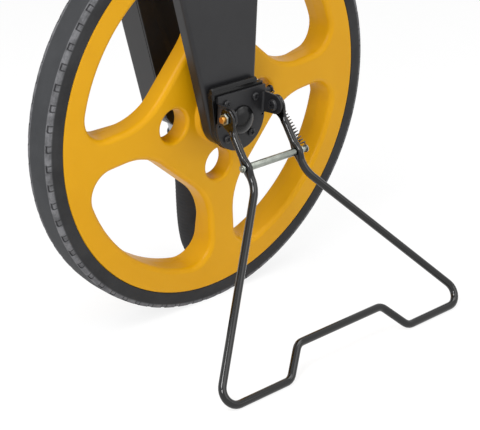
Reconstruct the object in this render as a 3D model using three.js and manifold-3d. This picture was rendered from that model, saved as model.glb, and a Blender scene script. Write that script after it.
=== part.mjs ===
// A folding measuring wheel, one metre round, with its fork, drive train, counter, folded pole and prop stand.
// Millimetres, +Z up. Each piece is built upright about the wheel's centre with the axle along Y, and the
// whole is then leant on its stand and set on the ground.
import * as THREE from 'three';
import { mergeGeometries, mergeVertices } from 'three/addons/utils/BufferGeometryUtils.js';
import Module from 'manifold-3d';

const wasm = await Module();
wasm.setup();

const QUARTER_TURN = Math.PI / 2;
const HALF_TURN = Math.PI;
const FULL_TURN = 2 * Math.PI;
const degrees = THREE.MathUtils.degToRad;

// Clearances
const GAP = 0.3;
const OVERRUN = 3;

// Lean of the wheel and its fork on the stand
const LEAN = degrees(5.15);

// Wheel and tyre
const WHEEL_ROUND = 1000;
const WHEEL_WIDTH = 25;
const TYRE_DEPTH = 13;
const TREAD_BAND = 21.8;
const TREAD_FLAT = 11;
const TREAD_TAPER = degrees(5.8);
const SHOULDER_DROP = 1.4;
const SHOULDER_IN = 0.9;
const SIDEWALL_TOP = 7.2;
const NOTCH_COUNT = 60;
const NOTCH_LENGTH = 6;
const NOTCH_WIDTH = 3.4;
const NOTCH_DEPTH = 1.2;
const RIM_DEPTH = 18.6;
const RIM_EDGE = 0.8;
const WEB_OUTER_THICK = 22;
const WEB_MIDDLE_THICK = 18;
const WEB_INNER_THICK = 16;
const WEB_MIDDLE_RADIUS = 66;
const WEB_INNER_RADIUS = 44;
const HUB_RADIUS = 22;
const HUB_SLOPE = 2;
const HUB_NEAR = 16;
const HUB_FAR = 14;
const HUB_BORE_RADIUS = 9;

// Holes in the wheel
const HOLE_COUNT = 4;
const HOLE_TURN = degrees(-40.5);
const SPOKE_WIDTH = 24;
const HOLE_INNER = 58.6;
const HOLE_CORNER_RADIUS = 19;
const HOLE_INNER_CORNER_RADIUS = 32;
const HOLE_NEAR_FILLET = 4.5;
const HOLE_FAR_FILLET = 2;
const SMALL_HOLE_TURN = degrees(1.4);
const SMALL_HOLE_PLACE = 46;
const SMALL_HOLE_RADIUS = 11.8;
const SMALL_HOLE_FILLET = 2.7;

// Axle and bearings
const AXLE_RADIUS = 4;
const AXLE_NEAR_END = 36;
const BEARING_RADIUS = 11;
const BEARING_WIDTH = 7;
const SPACER_RADIUS = 5.5;
const AXLE_NUT_RADIUS = 7;
const AXLE_NUT_THICK = 5.2;
const AXLE_TIP = 0.6;
const NUT_SIDES = 6;

// Fork legs and crown
const LEG_SHEET = 1.8;
const LEG_BEND_RADIUS = 3;
const NEAR_LEG_FACE = 30;
const NEAR_LEG_DEPTH = 10.2;
const NEAR_LEG_SLOPE = degrees(20.1);
const NEAR_LEG_BOSS_RADIUS = 22.5;
const NEAR_LEG_LEFT_STEP = 6.07;
const NEAR_LEG_RIGHT_STEP = 2.2;
const REAR_LEG_INNER = 22;
const REAR_LEG_FACE = 50;
const REAR_LEG_SLOPE = degrees(17.15);
const REAR_LEG_BOSS_RADIUS = 23.8;
const REAR_COVER_THICK = 1.8;
const REAR_COVER_SPACE = 1.2;
const FORK_TOP = 200;
const CROWN_DEPTH = 32;
const CROWN_WALL = 3;
const CROWN_PLATE = 3;
const CROWN_CORNER_RADIUS = 5;
const SHAFT_HOLE_RADIUS = 4.5;

// Hub housing, its bracket and the dome cap
const HOUSING_THICK = 5.7;
const HOUSING_RADIUS = 24;
const HOUSING_TOP = 24;
const HOUSING_LIP_OUT = 3;
const HOUSING_LIP_HEIGHT = 4.4;
const HOUSING_LIP_FRONT = 2.6;
const HOUSING_LIP_START = degrees(60);
const HOUSING_LIP_END = degrees(210);
const HOUSING_BORE_RADIUS = 9.5;
const BRACKET_SHEET = 2;
const BRACKET_TOP = 23.4;
const EAR_RADIUS = 9;
const EAR_ROOT_TOP = 21;
const EAR_ROOT_BOTTOM = -3;
const EAR_BEVEL = 0.5;
const EAR_HOLE_RADIUS = 1.5;
const EAR_HOLE_OUT = 8.5;
const EAR_HOLE_HEIGHT = 2.8;
const CAP_RADIUS = 12;
const CAP_RISE = 5.5;
const CAP_SPIGOT_WALL = 1.6;
const CAP_SPIGOT_LENGTH = 1.8;
const HUB_SCREW_RADIUS = 1.6;
const HUB_SCREW_HEAD_RADIUS = 3.3;
const HUB_SCREW_HEAD_THICK = 1.8;
const HEAD_FLAT_SHARE = 0.6;
const HEAD_EDGE_SHARE = 0.4;
const HUB_SCREW_TOP_INSET = 9;
const HUB_SCREW_TOP_DROP = 8;
const HUB_SCREW_LOW_SPACE = 1.7;
const HUB_SCREW_LOW_TURN = degrees(-43.6);

// Prop stand
const STAND_PIVOT_OUT = 48.5;
const STAND_PIVOT_HEIGHT = 10.1;
const STAND_SWING = degrees(-36.3);
const STAND_WIRE_RADIUS = 3;
const STAND_HALF_SPREAD = 132.35;
const STAND_FOOT_HALF_GAP = 62.6;
const STAND_STEP_HALF = 44;
const STAND_STEP_RISE = 21.3;
const STAND_KNEE_DROP = 53.8;
const STAND_LEG_SET_OUT = 0.4;
const STAND_KNEE_RADIUS = 22;
const STAND_CORNER_RADIUS = 10;
const STAND_STEP_RADIUS = 9;
const EYE_THICK = 2.4;
const EYE_RADIUS = 7.2;
const EYE_NECK = 13;
const PIVOT_RADIUS = 2.5;
const PIVOT_HEAD_RADIUS = 4.8;
const PIVOT_HEAD_THICK = 2.2;
const PIVOT_NUT_RADIUS = 4.4;
const PIVOT_NUT_THICK = 2.1;
const PIVOT_TIP_LEFT = 2.4;
const CROSSBAR_DROP = 38.1;
const CROSSBAR_RADIUS = 2.75;
const CROSSBAR_NECK_RADIUS = 1.9;
const CROSSBAR_LEFT_TIP = 0.8;
const CROSSBAR_NUT_RADIUS = 3.7;
const CROSSBAR_NUT_THICK = 1.7;
const CROSSBAR_HEAD_RADIUS = 2.9;
const CROSSBAR_HEAD_THICK = 1.6;
const BOSS_HALF_LENGTH = 7;
const BOSS_HALF_WIDTH = 4.6;
const BOSS_HALF_THICK = 2.5;

// Stand spring and its post
const SPRING_WIRE_RADIUS = 0.42;
const SPRING_COIL_RADIUS = 1.6;
const SPRING_HOOK_RADIUS = 2.6;
const SPRING_HOOK_REACH = 4.2;
const SPRING_COILS = 18;
const SPRING_HOOK_START = degrees(-130);
const SPRING_HOOK_SWEEP = degrees(220);
const SPRING_TOP_OUT = 33.4;
const SPRING_TOP_HEIGHT = 16;
const SPRING_TOP_SPACE = 7.2;
const SPRING_LOW_SPACE = 2.3;
const POST_ROOT = 6;
const POST_HEAD_RADIUS = 2.9;
const POST_HEAD_THICK = 1.4;

// Bevel gears of the drive
const WHEEL_GEAR_TEETH = 24;
const PINION_TEETH = 12;
const PINION_PITCH_RADIUS = 7;
const GEAR_ADDENDUM = 0.8;
const GEAR_DEDENDUM = 1.4;
const PINION_ADDENDUM = 0.5;
const PINION_DEDENDUM = 0.8;
const GEAR_FACE_SHARE = 0.7;
const TOOTH_TIP_SHARE = 0.12;
const TOOTH_ROOT_SHARE = 0.25;
const PINION_HUB_LENGTH = 3;
const PINION_HUB_RADIUS = 5.6;
const SHAFT_RADIUS = 2.5;
const SHAFT_Y = 36;
const BUSH_HEIGHT = 8;
const LOWER_BUSH_BOTTOM = 24;
const UPPER_BUSH_DROP = 10;

// Counter
const COUNTER_WIDTH = 37;
const COUNTER_LEFT = 18;
const COUNTER_FRONT = 28;
const COUNTER_BACK = 48;
const COUNTER_HEIGHT = 36;
const COUNTER_WALL = 2.5;
const COUNTER_CORNER_RADIUS = 5;
const DRUM_COUNT = 5;
const DRUM_RADIUS = 13;
const DRUM_WIDTH = 7.2;
const DRUM_SPACE = 0.5;
const DRUM_AXLE_RADIUS = 3;
const DRUM_GEAR_HUB_RADIUS = 10;
const WINDOW_WIDTH = 18;
const WINDOW_THICK = 1.6;
const WINDOW_LEDGE = 2;
const RESET_SPINDLE_RADIUS = 2;
const RESET_KNOB_RADIUS = 6;
const RESET_KNOB_THICK = 6;
const RESET_LEVER_LENGTH = 13;
const RESET_LEVER_HALF_WIDTH = 2.4;

// Folding pole
const HINGE_LEFT = 47.8;
const HINGE_RISE = 13.7;
const HINGE_Y = 38;
const HINGE_PIN_RADIUS = 3;
const POLE_OFFSET = 28;
const KNUCKLE_RADIUS = 7.5;
const KNUCKLE_HALF_WIDTH = 8;
const SOCKET_WALL = 2.2;
const SOCKET_TOP = 6;
const SOCKET_LENGTH = 32;
const CHEEK_THICK = 3;
const CHEEK_RADIUS = 8.5;
const POLE_BASE_THICK = 3;
const POLE_BASE_LENGTH = 36;
const POLE_BASE_WIDTH = 22;
const PIN_TAIL = 2.4;
const LOCK_KNOB_RADIUS = 7;
const LOCK_KNOB_THICK = 8;
const LOCK_WING_LENGTH = 24;
const LOCK_WING_THICK = 5;
const OUTER_TUBE_RADIUS = 9.5;
const OUTER_TUBE_REACH = 285.7;
const TUBE_WALL = 1.2;
const COLLAR_RADIUS = 11.4;
const COLLAR_OVERLAP = 10.5;
const COLLAR_LENGTH = 19;
const COLLAR_FLUTES = 12;
const COLLAR_FLUTE_DEPTH = 0.8;
const INNER_TUBE_TOP = 60;
const GRIP_SPACE = 10.5;
const GRIP_LENGTH = 89.8;
const GRIP_RADIUS = 12;
const GRIP_DEPTH_RADIUS = 13.5;
const GRIP_NECK_SHARE = 0.86;
const GRIP_SWING = 12.6;
const GRIP_SWING_START = 4;
const GRIP_BORE_DEPTH = 24;
const GRIP_CAP_THICK = 3;

// Facets
const WHEEL_FACETS = NOTCH_COUNT;
const HUB_FACETS = 18;
const ROD_FACETS = 12;
const SCREW_FACETS = 8;
const WIRE_FACETS = 8;
const SPRING_FACETS = 5;
const SPRING_STEPS = 8;
const HOLE_CORNER_STEPS = 5;
const HOLE_INNER_STEPS = 3;
const HOLE_RIM_STEPS = 7;
const SMALL_HOLE_FACETS = 14;
const BOX_CORNER_STEPS = 3;
const BEND_STEPS = 4;
const LIP_STEPS = 5;
const DOME_STEPS = 5;
const EAR_STEPS = 8;
const ROUND_STEPS = 12;
const HOUSING_STEPS = 16;
const LEVER_STEPS = 4;

// Sizes that follow
const TREAD_RADIUS = WHEEL_ROUND / FULL_TURN;
const RIM_RADIUS = TREAD_RADIUS - TYRE_DEPTH;
const HALF_WIDTH = WHEEL_WIDTH / 2;
const HOLE_OUTER = RIM_RADIUS - RIM_DEPTH;
const HOUSING_BACK = -NEAR_LEG_FACE - GAP;
const HOUSING_FRONT = HOUSING_BACK - HOUSING_THICK;
const BRACKET_BACK = HOUSING_FRONT - GAP;
const BRACKET_FRONT = BRACKET_BACK - BRACKET_SHEET;
const EAR_OUTER = HOUSING_RADIUS;
const EYE_INNER = EAR_OUTER + GAP;
const EYE_OUTER = EYE_INNER + EYE_THICK;
const WIRE_X = (EYE_INNER + EYE_OUTER) / 2 + STAND_LEG_SET_OUT;
const AXLE_HEIGHT = TREAD_RADIUS * Math.cos(LEAN) + (TREAD_FLAT / 2) * Math.sin(LEAN);
const STAND_PIVOT_LIFT = STAND_PIVOT_HEIGHT * Math.cos(LEAN) - STAND_PIVOT_OUT * Math.sin(LEAN);
const STAND_REACH = (AXLE_HEIGHT + STAND_PIVOT_LIFT - STAND_WIRE_RADIUS) / Math.cos(STAND_SWING + LEAN);
const BORE_RADIUS = AXLE_RADIUS + GAP;
const SPRING_TOP_SIDE = HOUSING_RADIUS + SPRING_TOP_SPACE;
const CROSSBAR_NUT_SEAT = WIRE_X + STAND_WIRE_RADIUS + GAP;
const SPRING_LOW_SIDE = CROSSBAR_NUT_SEAT + CROSSBAR_NUT_THICK + SPRING_LOW_SPACE;
const GEAR_PITCH_RADIUS = PINION_PITCH_RADIUS * WHEEL_GEAR_TEETH / PINION_TEETH;
const REAR_CHANNEL_FRONT = REAR_LEG_INNER + REAR_COVER_THICK + GAP;
const REAR_CHANNEL_BACK = REAR_LEG_FACE - LEG_SHEET;
const CROWN_BOTTOM = FORK_TOP + GAP;
const CROWN_TOP = CROWN_BOTTOM + CROWN_PLATE;
const COUNTER_BOTTOM = CROWN_TOP + GAP;
const COUNTER_TOP = COUNTER_BOTTOM + COUNTER_HEIGHT;
const COUNTER_AXIS = CROWN_TOP + GAP + PINION_HUB_LENGTH + GEAR_PITCH_RADIUS;
const HINGE_Z = CROWN_TOP + HINGE_RISE;
const INNER_TUBE_RADIUS = OUTER_TUBE_RADIUS - TUBE_WALL - GAP;
const COLLAR_TOP = OUTER_TUBE_REACH - COLLAR_OVERLAP;
const GRIP_TOP = OUTER_TUBE_REACH + GRIP_SPACE;

// Materials
const finish = (color, roughness, metalness) => new THREE.MeshStandardMaterial({ color, roughness, metalness });
const yellowPlastic = () => finish(0xd89a12, 0.45, 0);
const tyreRubber = () => finish(0x3c3d40, 0.8, 0);
const blackPaint = () => finish(0x2b2b2d, 0.45, 0.1);
const blackGloss = () => finish(0x141414, 0.22, 0.2);
const blackPlastic = () => finish(0x202022, 0.5, 0);
const gripRubber = () => finish(0x1d1d1f, 0.8, 0);
const brightZinc = () => finish(0xb4b8ac, 0.35, 0.9);
const steel = () => finish(0x9a9da0, 0.4, 0.9);
const brass = () => finish(0xc89448, 0.35, 0.9);
const whiteAcetal = () => finish(0xe6e3d8, 0.5, 0);
const clearPane = () => finish(0xcfe0e6, 0.08, 0);
const aluminium = () => finish(0xa6a8ab, 0.35, 0.9);

// Turns the faces outward where a mapping has turned them in.
function facingOut(geometry) {
  const position = geometry.getAttribute('position');
  const index = geometry.getIndex();
  const [a, b, c] = [new THREE.Vector3(), new THREE.Vector3(), new THREE.Vector3()];
  let volume = 0;
  for (let i = 0; i < index.count; i += 3) {
    a.fromBufferAttribute(position, index.getX(i));
    b.fromBufferAttribute(position, index.getX(i + 1));
    c.fromBufferAttribute(position, index.getX(i + 2));
    volume += a.dot(b.cross(c));
  }
  if (volume < 0) {
    for (let i = 0; i < index.count; i += 3) {
      const first = index.getX(i);
      index.setX(i, index.getX(i + 1));
      index.setX(i + 1, first);
    }
  }
  return geometry;
}

// Joins equal vertices and drops the flat triangles that a profile leaves on its axis.
function welded(geometry) {
  const bare = geometry.clone();
  bare.deleteAttribute('normal');
  bare.deleteAttribute('uv');
  const merged = mergeVertices(bare);
  const corners = Array.from(merged.getIndex().array);
  const kept = [];
  for (let i = 0; i < corners.length; i += 3) {
    const [a, b, c] = corners.slice(i, i + 3);
    if (a !== b && b !== c && c !== a) kept.push(a, b, c);
  }
  merged.setIndex(kept);
  return facingOut(merged);
}

function toSolid(geometry) {
  const merged = welded(geometry);
  return new wasm.Manifold(new wasm.Mesh({
    numProp: 3,
    vertProperties: new Float32Array(merged.getAttribute('position').array),
    triVerts: new Uint32Array(merged.getIndex().array),
  }));
}

function toGeometry(solid) {
  const mesh = solid.getMesh();
  const geometry = new THREE.BufferGeometry();
  geometry.setAttribute('position', new THREE.BufferAttribute(mesh.vertProperties, 3));
  geometry.setIndex(new THREE.BufferAttribute(mesh.triVerts, 1));
  geometry.computeVertexNormals();
  return geometry;
}

const cut = (base, ...tools) => toGeometry(tools.reduce((left, tool) => left.subtract(toSolid(tool)), toSolid(base)));
const join = (base, ...others) => toGeometry(others.reduce((whole, other) => whole.add(toSolid(other)), toSolid(base)));

// Where a flat outline's point goes when the outline stands square to each axis.
const alongX = (point, x) => new THREE.Vector3(x, point.x, point.y);
const alongY = (point, y) => new THREE.Vector3(point.x, y, point.y);
const alongZ = (point, z) => new THREE.Vector3(point.x, point.y, z);

// A closed solid through matching outlines, one for each place.
function loft(outlines, places, along) {
  const flipped = THREE.ShapeUtils.area(outlines[0]) < 0;
  const rings = outlines.map((outline) => (flipped ? [...outline].reverse() : outline));
  const count = rings[0].length;
  const positions = [];
  const index = [];
  rings.forEach((ring, level) => {
    ring.forEach((point) => positions.push(...along(point, places[level]).toArray()));
  });
  for (let level = 0; level + 1 < rings.length; level += 1) {
    for (let i = 0; i < count; i += 1) {
      const a = level * count + i;
      const b = level * count + ((i + 1) % count);
      index.push(a, b, b + count, a, b + count, a + count);
    }
  }
  const last = (rings.length - 1) * count;
  THREE.ShapeUtils.triangulateShape(rings[0], []).forEach(([a, b, c]) => index.push(a, c, b));
  THREE.ShapeUtils.triangulateShape(rings.at(-1), []).forEach(([a, b, c]) => {
    index.push(last + a, last + b, last + c);
  });
  const geometry = new THREE.BufferGeometry();
  geometry.setAttribute('position', new THREE.Float32BufferAttribute(positions, 3));
  geometry.setIndex(index);
  return facingOut(geometry);
}

const prism = (outline, from, to, along) => loft([outline, outline], [from, to], along);

function arc(x, y, radius, from, to, steps) {
  return Array.from({ length: steps + 1 }, (_, i) => {
    const angle = from + (to - from) * i / steps;
    return new THREE.Vector2(x + radius * Math.cos(angle), y + radius * Math.sin(angle));
  });
}

function circle(x, y, radius, facets, turn = 0) {
  return arc(x, y, radius, turn, turn + FULL_TURN, facets).slice(0, facets);
}

// A box outline with rounded corners.
function roundedBox(left, right, bottom, top, radius) {
  const corners = [[right, top, 0], [left, top, 1], [left, bottom, 2], [right, bottom, 3]];
  return corners.flatMap(([x, y, quarter]) => arc(
    x - radius * Math.sign(x - (left + right) / 2),
    y - radius * Math.sign(y - (bottom + top) / 2),
    radius,
    quarter * QUARTER_TURN,
    (quarter + 1) * QUARTER_TURN,
    BOX_CORNER_STEPS,
  ));
}

const plainBox = (left, right, bottom, top) => [
  new THREE.Vector2(left, bottom),
  new THREE.Vector2(right, bottom),
  new THREE.Vector2(right, top),
  new THREE.Vector2(left, top),
];

// A turned solid about Y from a closed profile of [radius, y].
function turned(profile, facets) {
  const points = profile.map(([radius, y]) => new THREE.Vector2(radius, y));
  const closed = points[0].x > 0 || points.at(-1).x > 0;
  return welded(new THREE.LatheGeometry(closed ? [...points, points[0].clone()] : points, facets));
}

const rod = (radius, from, to, facets) => turned([[0, from], [radius, from], [radius, to], [0, to]], facets);
const ring = (outer, inner, from, to, facets) => turned([[inner, from], [outer, from], [outer, to], [inner, to]], facets);
const onX = (geometry) => geometry.rotateZ(-QUARTER_TURN);
const onZ = (geometry) => geometry.rotateX(QUARTER_TURN);

// A hexagon nut about Y with its bore.
function nut(radius, bore, from, to, facets) {
  return cut(prism(circle(0, 0, radius, NUT_SIDES, HALF_TURN / NUT_SIDES), from, to, alongY), rod(bore, from - OVERRUN, to + OVERRUN, facets));
}

function piece(name, geometry, material) {
  const mesh = new THREE.Mesh(geometry, material);
  mesh.name = name;
  return mesh;
}

// A path that is stepped at its own stations.
class StationCurve extends THREE.Curve {
  constructor(stations) {
    super();
    this.stations = stations;
  }

  getPoint(t, target = new THREE.Vector3()) {
    const last = this.stations.length - 1;
    const place = t * last;
    const from = Math.min(Math.floor(place), last - 1);
    return target.lerpVectors(this.stations[from], this.stations[from + 1], place - from);
  }

  getPointAt(u, target) {
    return this.getPoint(u, target);
  }

  getTangentAt(u, target = new THREE.Vector3()) {
    const last = this.stations.length - 1;
    const place = Math.round(u * last);
    const before = this.stations[Math.max(place - 1, 0)];
    const after = this.stations[Math.min(place + 1, last)];
    return target.subVectors(after, before).normalize();
  }
}

function wire(stations, radius, facets) {
  const section = new THREE.Shape(circle(0, 0, radius, facets, HALF_TURN / facets));
  return welded(new THREE.ExtrudeGeometry(section, {
    steps: stations.length - 1,
    bevelEnabled: false,
    extrudePath: new StationCurve(stations),
  }));
}

// The wheel

// A quarter-round run from one inset to the next, as [inset share, height share] pairs.
const quarterShares = [0, QUARTER_TURN / 2, QUARTER_TURN].map((turn) => [1 - Math.sin(turn), Math.cos(turn)]);

// The outline of one large hole, drawn in by an inset: two corners at the rim, two towards the hub.
function largeHoleOutline(inset) {
  const halfSpoke = SPOKE_WIDTH / 2;
  const eighth = QUARTER_TURN / 2;
  const cornerReach = Math.sqrt((HOLE_OUTER - HOLE_CORNER_RADIUS) ** 2 - (halfSpoke + HOLE_CORNER_RADIUS) ** 2);
  const across = (cornerReach - halfSpoke - HOLE_CORNER_RADIUS) * Math.SQRT1_2;
  const outward = (cornerReach + halfSpoke + HOLE_CORNER_RADIUS) * Math.SQRT1_2;
  const innerOut = HOLE_INNER + HOLE_INNER_CORNER_RADIUS;
  const innerAcross = innerOut - (halfSpoke + HOLE_INNER_CORNER_RADIUS) * Math.SQRT2;
  const lean = Math.atan2(outward, across);
  const rimRadius = HOLE_CORNER_RADIUS - inset;
  const hubRadius = HOLE_INNER_CORNER_RADIUS - inset;
  return [
    ...arc(innerAcross, innerOut, hubRadius, -QUARTER_TURN, -eighth, HOLE_INNER_STEPS),
    ...arc(across, outward, rimRadius, -eighth, lean, HOLE_CORNER_STEPS),
    ...arc(0, 0, HOLE_OUTER - inset, lean, HALF_TURN - lean, HOLE_RIM_STEPS).slice(1, -1),
    ...arc(-across, outward, rimRadius, HALF_TURN - lean, HALF_TURN + eighth, HOLE_CORNER_STEPS),
    ...arc(-innerAcross, innerOut, hubRadius, HALF_TURN + eighth, HALF_TURN + QUARTER_TURN, HOLE_INNER_STEPS),
  ];
}

const smallHoleOutline = (inset) => (
  circle(0, SMALL_HOLE_PLACE, SMALL_HOLE_RADIUS + SMALL_HOLE_FILLET - inset, SMALL_HOLE_FACETS)
);

// A cutter with rounded mouths; its outline is drawn in from the face by each fillet.
function holeCutter(outline, nearFillet, farFillet) {
  const near = -HALF_WIDTH;
  const far = HALF_WIDTH;
  const nearRun = quarterShares.map(([inset, height]) => [nearFillet * (1 - inset), near + nearFillet * (1 - height)]);
  const levels = [
    [0, near - OVERRUN],
    ...nearRun,
    [nearFillet, far - WEB_OUTER_THICK / 2],
    [nearFillet - farFillet, far],
    [nearFillet - farFillet, far + OVERRUN],
  ];
  return loft(levels.map(([inset]) => outline(inset)), levels.map(([, place]) => place), alongY);
}

// The same cutter turned about the axle to each of its places.
function holeCutters(cutter, turn) {
  return Array.from({ length: HOLE_COUNT }, (_, i) => {
    const angle = turn + (i * FULL_TURN) / HOLE_COUNT;
    return cutter.clone().rotateY(QUARTER_TURN - angle);
  });
}

function wheelBody() {
  const near = -HALF_WIDTH;
  const seat = RIM_RADIUS - GAP;
  const bearingSeat = BEARING_RADIUS + GAP;
  const disc = turned([
    [bearingSeat, -HUB_NEAR],
    [HUB_RADIUS, -HUB_NEAR],
    [HUB_RADIUS + HUB_SLOPE, near],
    [seat - RIM_EDGE, near],
    [seat, near + RIM_EDGE],
    [seat, HALF_WIDTH],
    [HOLE_OUTER, HALF_WIDTH],
    [HOLE_OUTER - RIM_EDGE, near + WEB_OUTER_THICK],
    [WEB_MIDDLE_RADIUS, near + WEB_MIDDLE_THICK],
    [WEB_INNER_RADIUS, near + WEB_INNER_THICK],
    [HUB_RADIUS + HUB_SLOPE, near + WEB_INNER_THICK],
    [HUB_RADIUS, HUB_FAR],
    [bearingSeat, HUB_FAR],
    [bearingSeat, HUB_FAR - BEARING_WIDTH - GAP],
    [HUB_BORE_RADIUS, HUB_FAR - BEARING_WIDTH - GAP],
    [HUB_BORE_RADIUS, BEARING_WIDTH + GAP - HUB_NEAR],
    [bearingSeat, BEARING_WIDTH + GAP - HUB_NEAR],
  ], WHEEL_FACETS);
  const large = holeCutter(largeHoleOutline, HOLE_NEAR_FILLET, HOLE_FAR_FILLET);
  const small = holeCutter(smallHoleOutline, SMALL_HOLE_FILLET, SMALL_HOLE_FILLET / 2);
  return cut(disc, ...holeCutters(large, HOLE_TURN), ...holeCutters(small, SMALL_HOLE_TURN));
}

// One batch of notches along both edges of the tread.
function treadNotches() {
  const inner = HALF_WIDTH - (WHEEL_WIDTH - TREAD_BAND) / 2 - NOTCH_WIDTH / 2;
  const blocks = [-1, 1].flatMap((side) => Array.from({ length: NOTCH_COUNT }, (_, i) => {
    const outline = plainBox(-NOTCH_LENGTH / 2, NOTCH_LENGTH / 2, TREAD_RADIUS - NOTCH_DEPTH, TREAD_RADIUS + OVERRUN);
    const block = prism(outline, side * inner, side * (HALF_WIDTH + OVERRUN), alongY);
    return block.rotateY(((i + 0.5) * FULL_TURN) / NOTCH_COUNT);
  }));
  return mergeGeometries(blocks);
}

// The tread is flat in the middle and tapers to its edges, so that the leant wheel rests near its middle.
function tyre() {
  const tread = TREAD_BAND / 2;
  const shoulder = TREAD_RADIUS - SHOULDER_DROP;
  const taper = (tread - TREAD_FLAT / 2) * Math.tan(TREAD_TAPER);
  const half = [
    [RIM_RADIUS, HALF_WIDTH],
    [TREAD_RADIUS - SIDEWALL_TOP, HALF_WIDTH],
    [shoulder, HALF_WIDTH - SHOULDER_IN],
    [TREAD_RADIUS - taper, tread],
    [TREAD_RADIUS, TREAD_FLAT / 2],
  ];
  const profile = [...half, ...half.map(([radius, y]) => [radius, -y]).reverse()];
  return cut(turned(profile, WHEEL_FACETS), treadNotches());
}

const bearing = (from) => ring(BEARING_RADIUS, BORE_RADIUS, from, from + BEARING_WIDTH, HUB_FACETS);

// The axle and what is on it

function axle() {
  const near = -AXLE_NEAR_END;
  const far = REAR_LEG_FACE + GAP + AXLE_NUT_THICK + AXLE_TIP;
  return turned([
    [0, near],
    [AXLE_RADIUS - AXLE_TIP, near],
    [AXLE_RADIUS, near + AXLE_TIP],
    [AXLE_RADIUS, far - AXLE_TIP],
    [AXLE_RADIUS - AXLE_TIP, far],
    [0, far],
  ], HUB_FACETS);
}

const axleNut = (from) => nut(AXLE_NUT_RADIUS, BORE_RADIUS, from, from + AXLE_NUT_THICK, HUB_FACETS);
const spacer = (from, to) => ring(SPACER_RADIUS, BORE_RADIUS, from, to, HUB_FACETS);

// The fork

// A leg's outline in x and z: a disc about the axle that rises into a slanted left side and an upright right side.
function legOutline(leg, inset, top) {
  const radius = leg.radius - inset;
  const left = leg.radius - leg.leftStep - inset;
  const right = leg.radius - leg.rightStep - inset;
  const leftNormal = HALF_TURN + leg.slope;
  const from = leftNormal - Math.acos(left / radius);
  const to = FULL_TURN + Math.acos(right / radius);
  const leftAt = (z) => -(left + z * Math.sin(leg.slope)) / Math.cos(leg.slope);
  return [
    new THREE.Vector2(leftAt(top), top),
    ...arc(0, 0, radius, from, to, ROUND_STEPS),
    new THREE.Vector2(right, top),
  ];
}

const nearLegShape = {
  radius: NEAR_LEG_BOSS_RADIUS,
  slope: NEAR_LEG_SLOPE,
  leftStep: NEAR_LEG_LEFT_STEP,
  rightStep: NEAR_LEG_RIGHT_STEP,
};
const rearLegShape = {
  radius: REAR_LEG_BOSS_RADIUS,
  slope: REAR_LEG_SLOPE,
  leftStep: 0,
  rightStep: 0,
};

// A folded channel: its face at one y, with rounded bends, and its flanges reaching to another.
function channel(shape, face, edge) {
  const inward = Math.sign(edge - face);
  const bends = [0, 30, 60, 90].map(degrees);
  const outlines = bends.map((angle) => legOutline(shape, LEG_BEND_RADIUS * (1 - Math.sin(angle)), FORK_TOP));
  const places = bends.map((angle) => face + inward * LEG_BEND_RADIUS * (1 - Math.cos(angle)));
  const outside = loft([...outlines, outlines.at(-1)], [...places, edge], alongY);
  const inside = legOutline(shape, LEG_SHEET, FORK_TOP + OVERRUN);
  return [outside, prism(inside, face + inward * LEG_SHEET, edge + inward * OVERRUN, alongY)];
}

// The upper two screws sit in from the housing's corners; the lower two sit just outside the dome.
const hubScrewRing = CAP_RADIUS + HUB_SCREW_HEAD_RADIUS + HUB_SCREW_LOW_SPACE;
const hubScrewPlaces = [
  [HOUSING_RADIUS - HUB_SCREW_TOP_INSET, HOUSING_TOP - HUB_SCREW_TOP_DROP],
  [hubScrewRing * Math.cos(HUB_SCREW_LOW_TURN), hubScrewRing * Math.sin(HUB_SCREW_LOW_TURN)],
].flatMap(([x, z]) => [[-x, z], [x, z]]);

// Clearance holes for the four hub screws between two places.
const screwHoles = (from, to) => hubScrewPlaces.map(([x, z]) => (
  rod(HUB_SCREW_RADIUS + GAP, from, to, SCREW_FACETS).translate(x, 0, z)
));

function nearLeg() {
  const [outside, inside] = channel(nearLegShape, -NEAR_LEG_FACE, NEAR_LEG_DEPTH - NEAR_LEG_FACE);
  const from = -NEAR_LEG_FACE - OVERRUN;
  const to = -NEAR_LEG_FACE + OVERRUN;
  return cut(outside, inside, rod(BORE_RADIUS, from, to, HUB_FACETS), ...screwHoles(from, to));
}

function rearLeg() {
  const [outside, inside] = channel(rearLegShape, REAR_LEG_FACE, REAR_CHANNEL_FRONT);
  const from = REAR_LEG_FACE - OVERRUN;
  return cut(outside, inside, rod(BORE_RADIUS, from, REAR_LEG_FACE + OVERRUN, HUB_FACETS));
}

function rearLegCover() {
  const plate = prism(legOutline(rearLegShape, 0, FORK_TOP), REAR_LEG_INNER, REAR_LEG_INNER + REAR_COVER_THICK, alongY);
  const opening = GEAR_PITCH_RADIUS + GEAR_ADDENDUM + REAR_COVER_SPACE;
  return cut(plate, rod(opening, REAR_LEG_INNER - OVERRUN, REAR_LEG_INNER + OVERRUN, HUB_FACETS));
}

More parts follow.
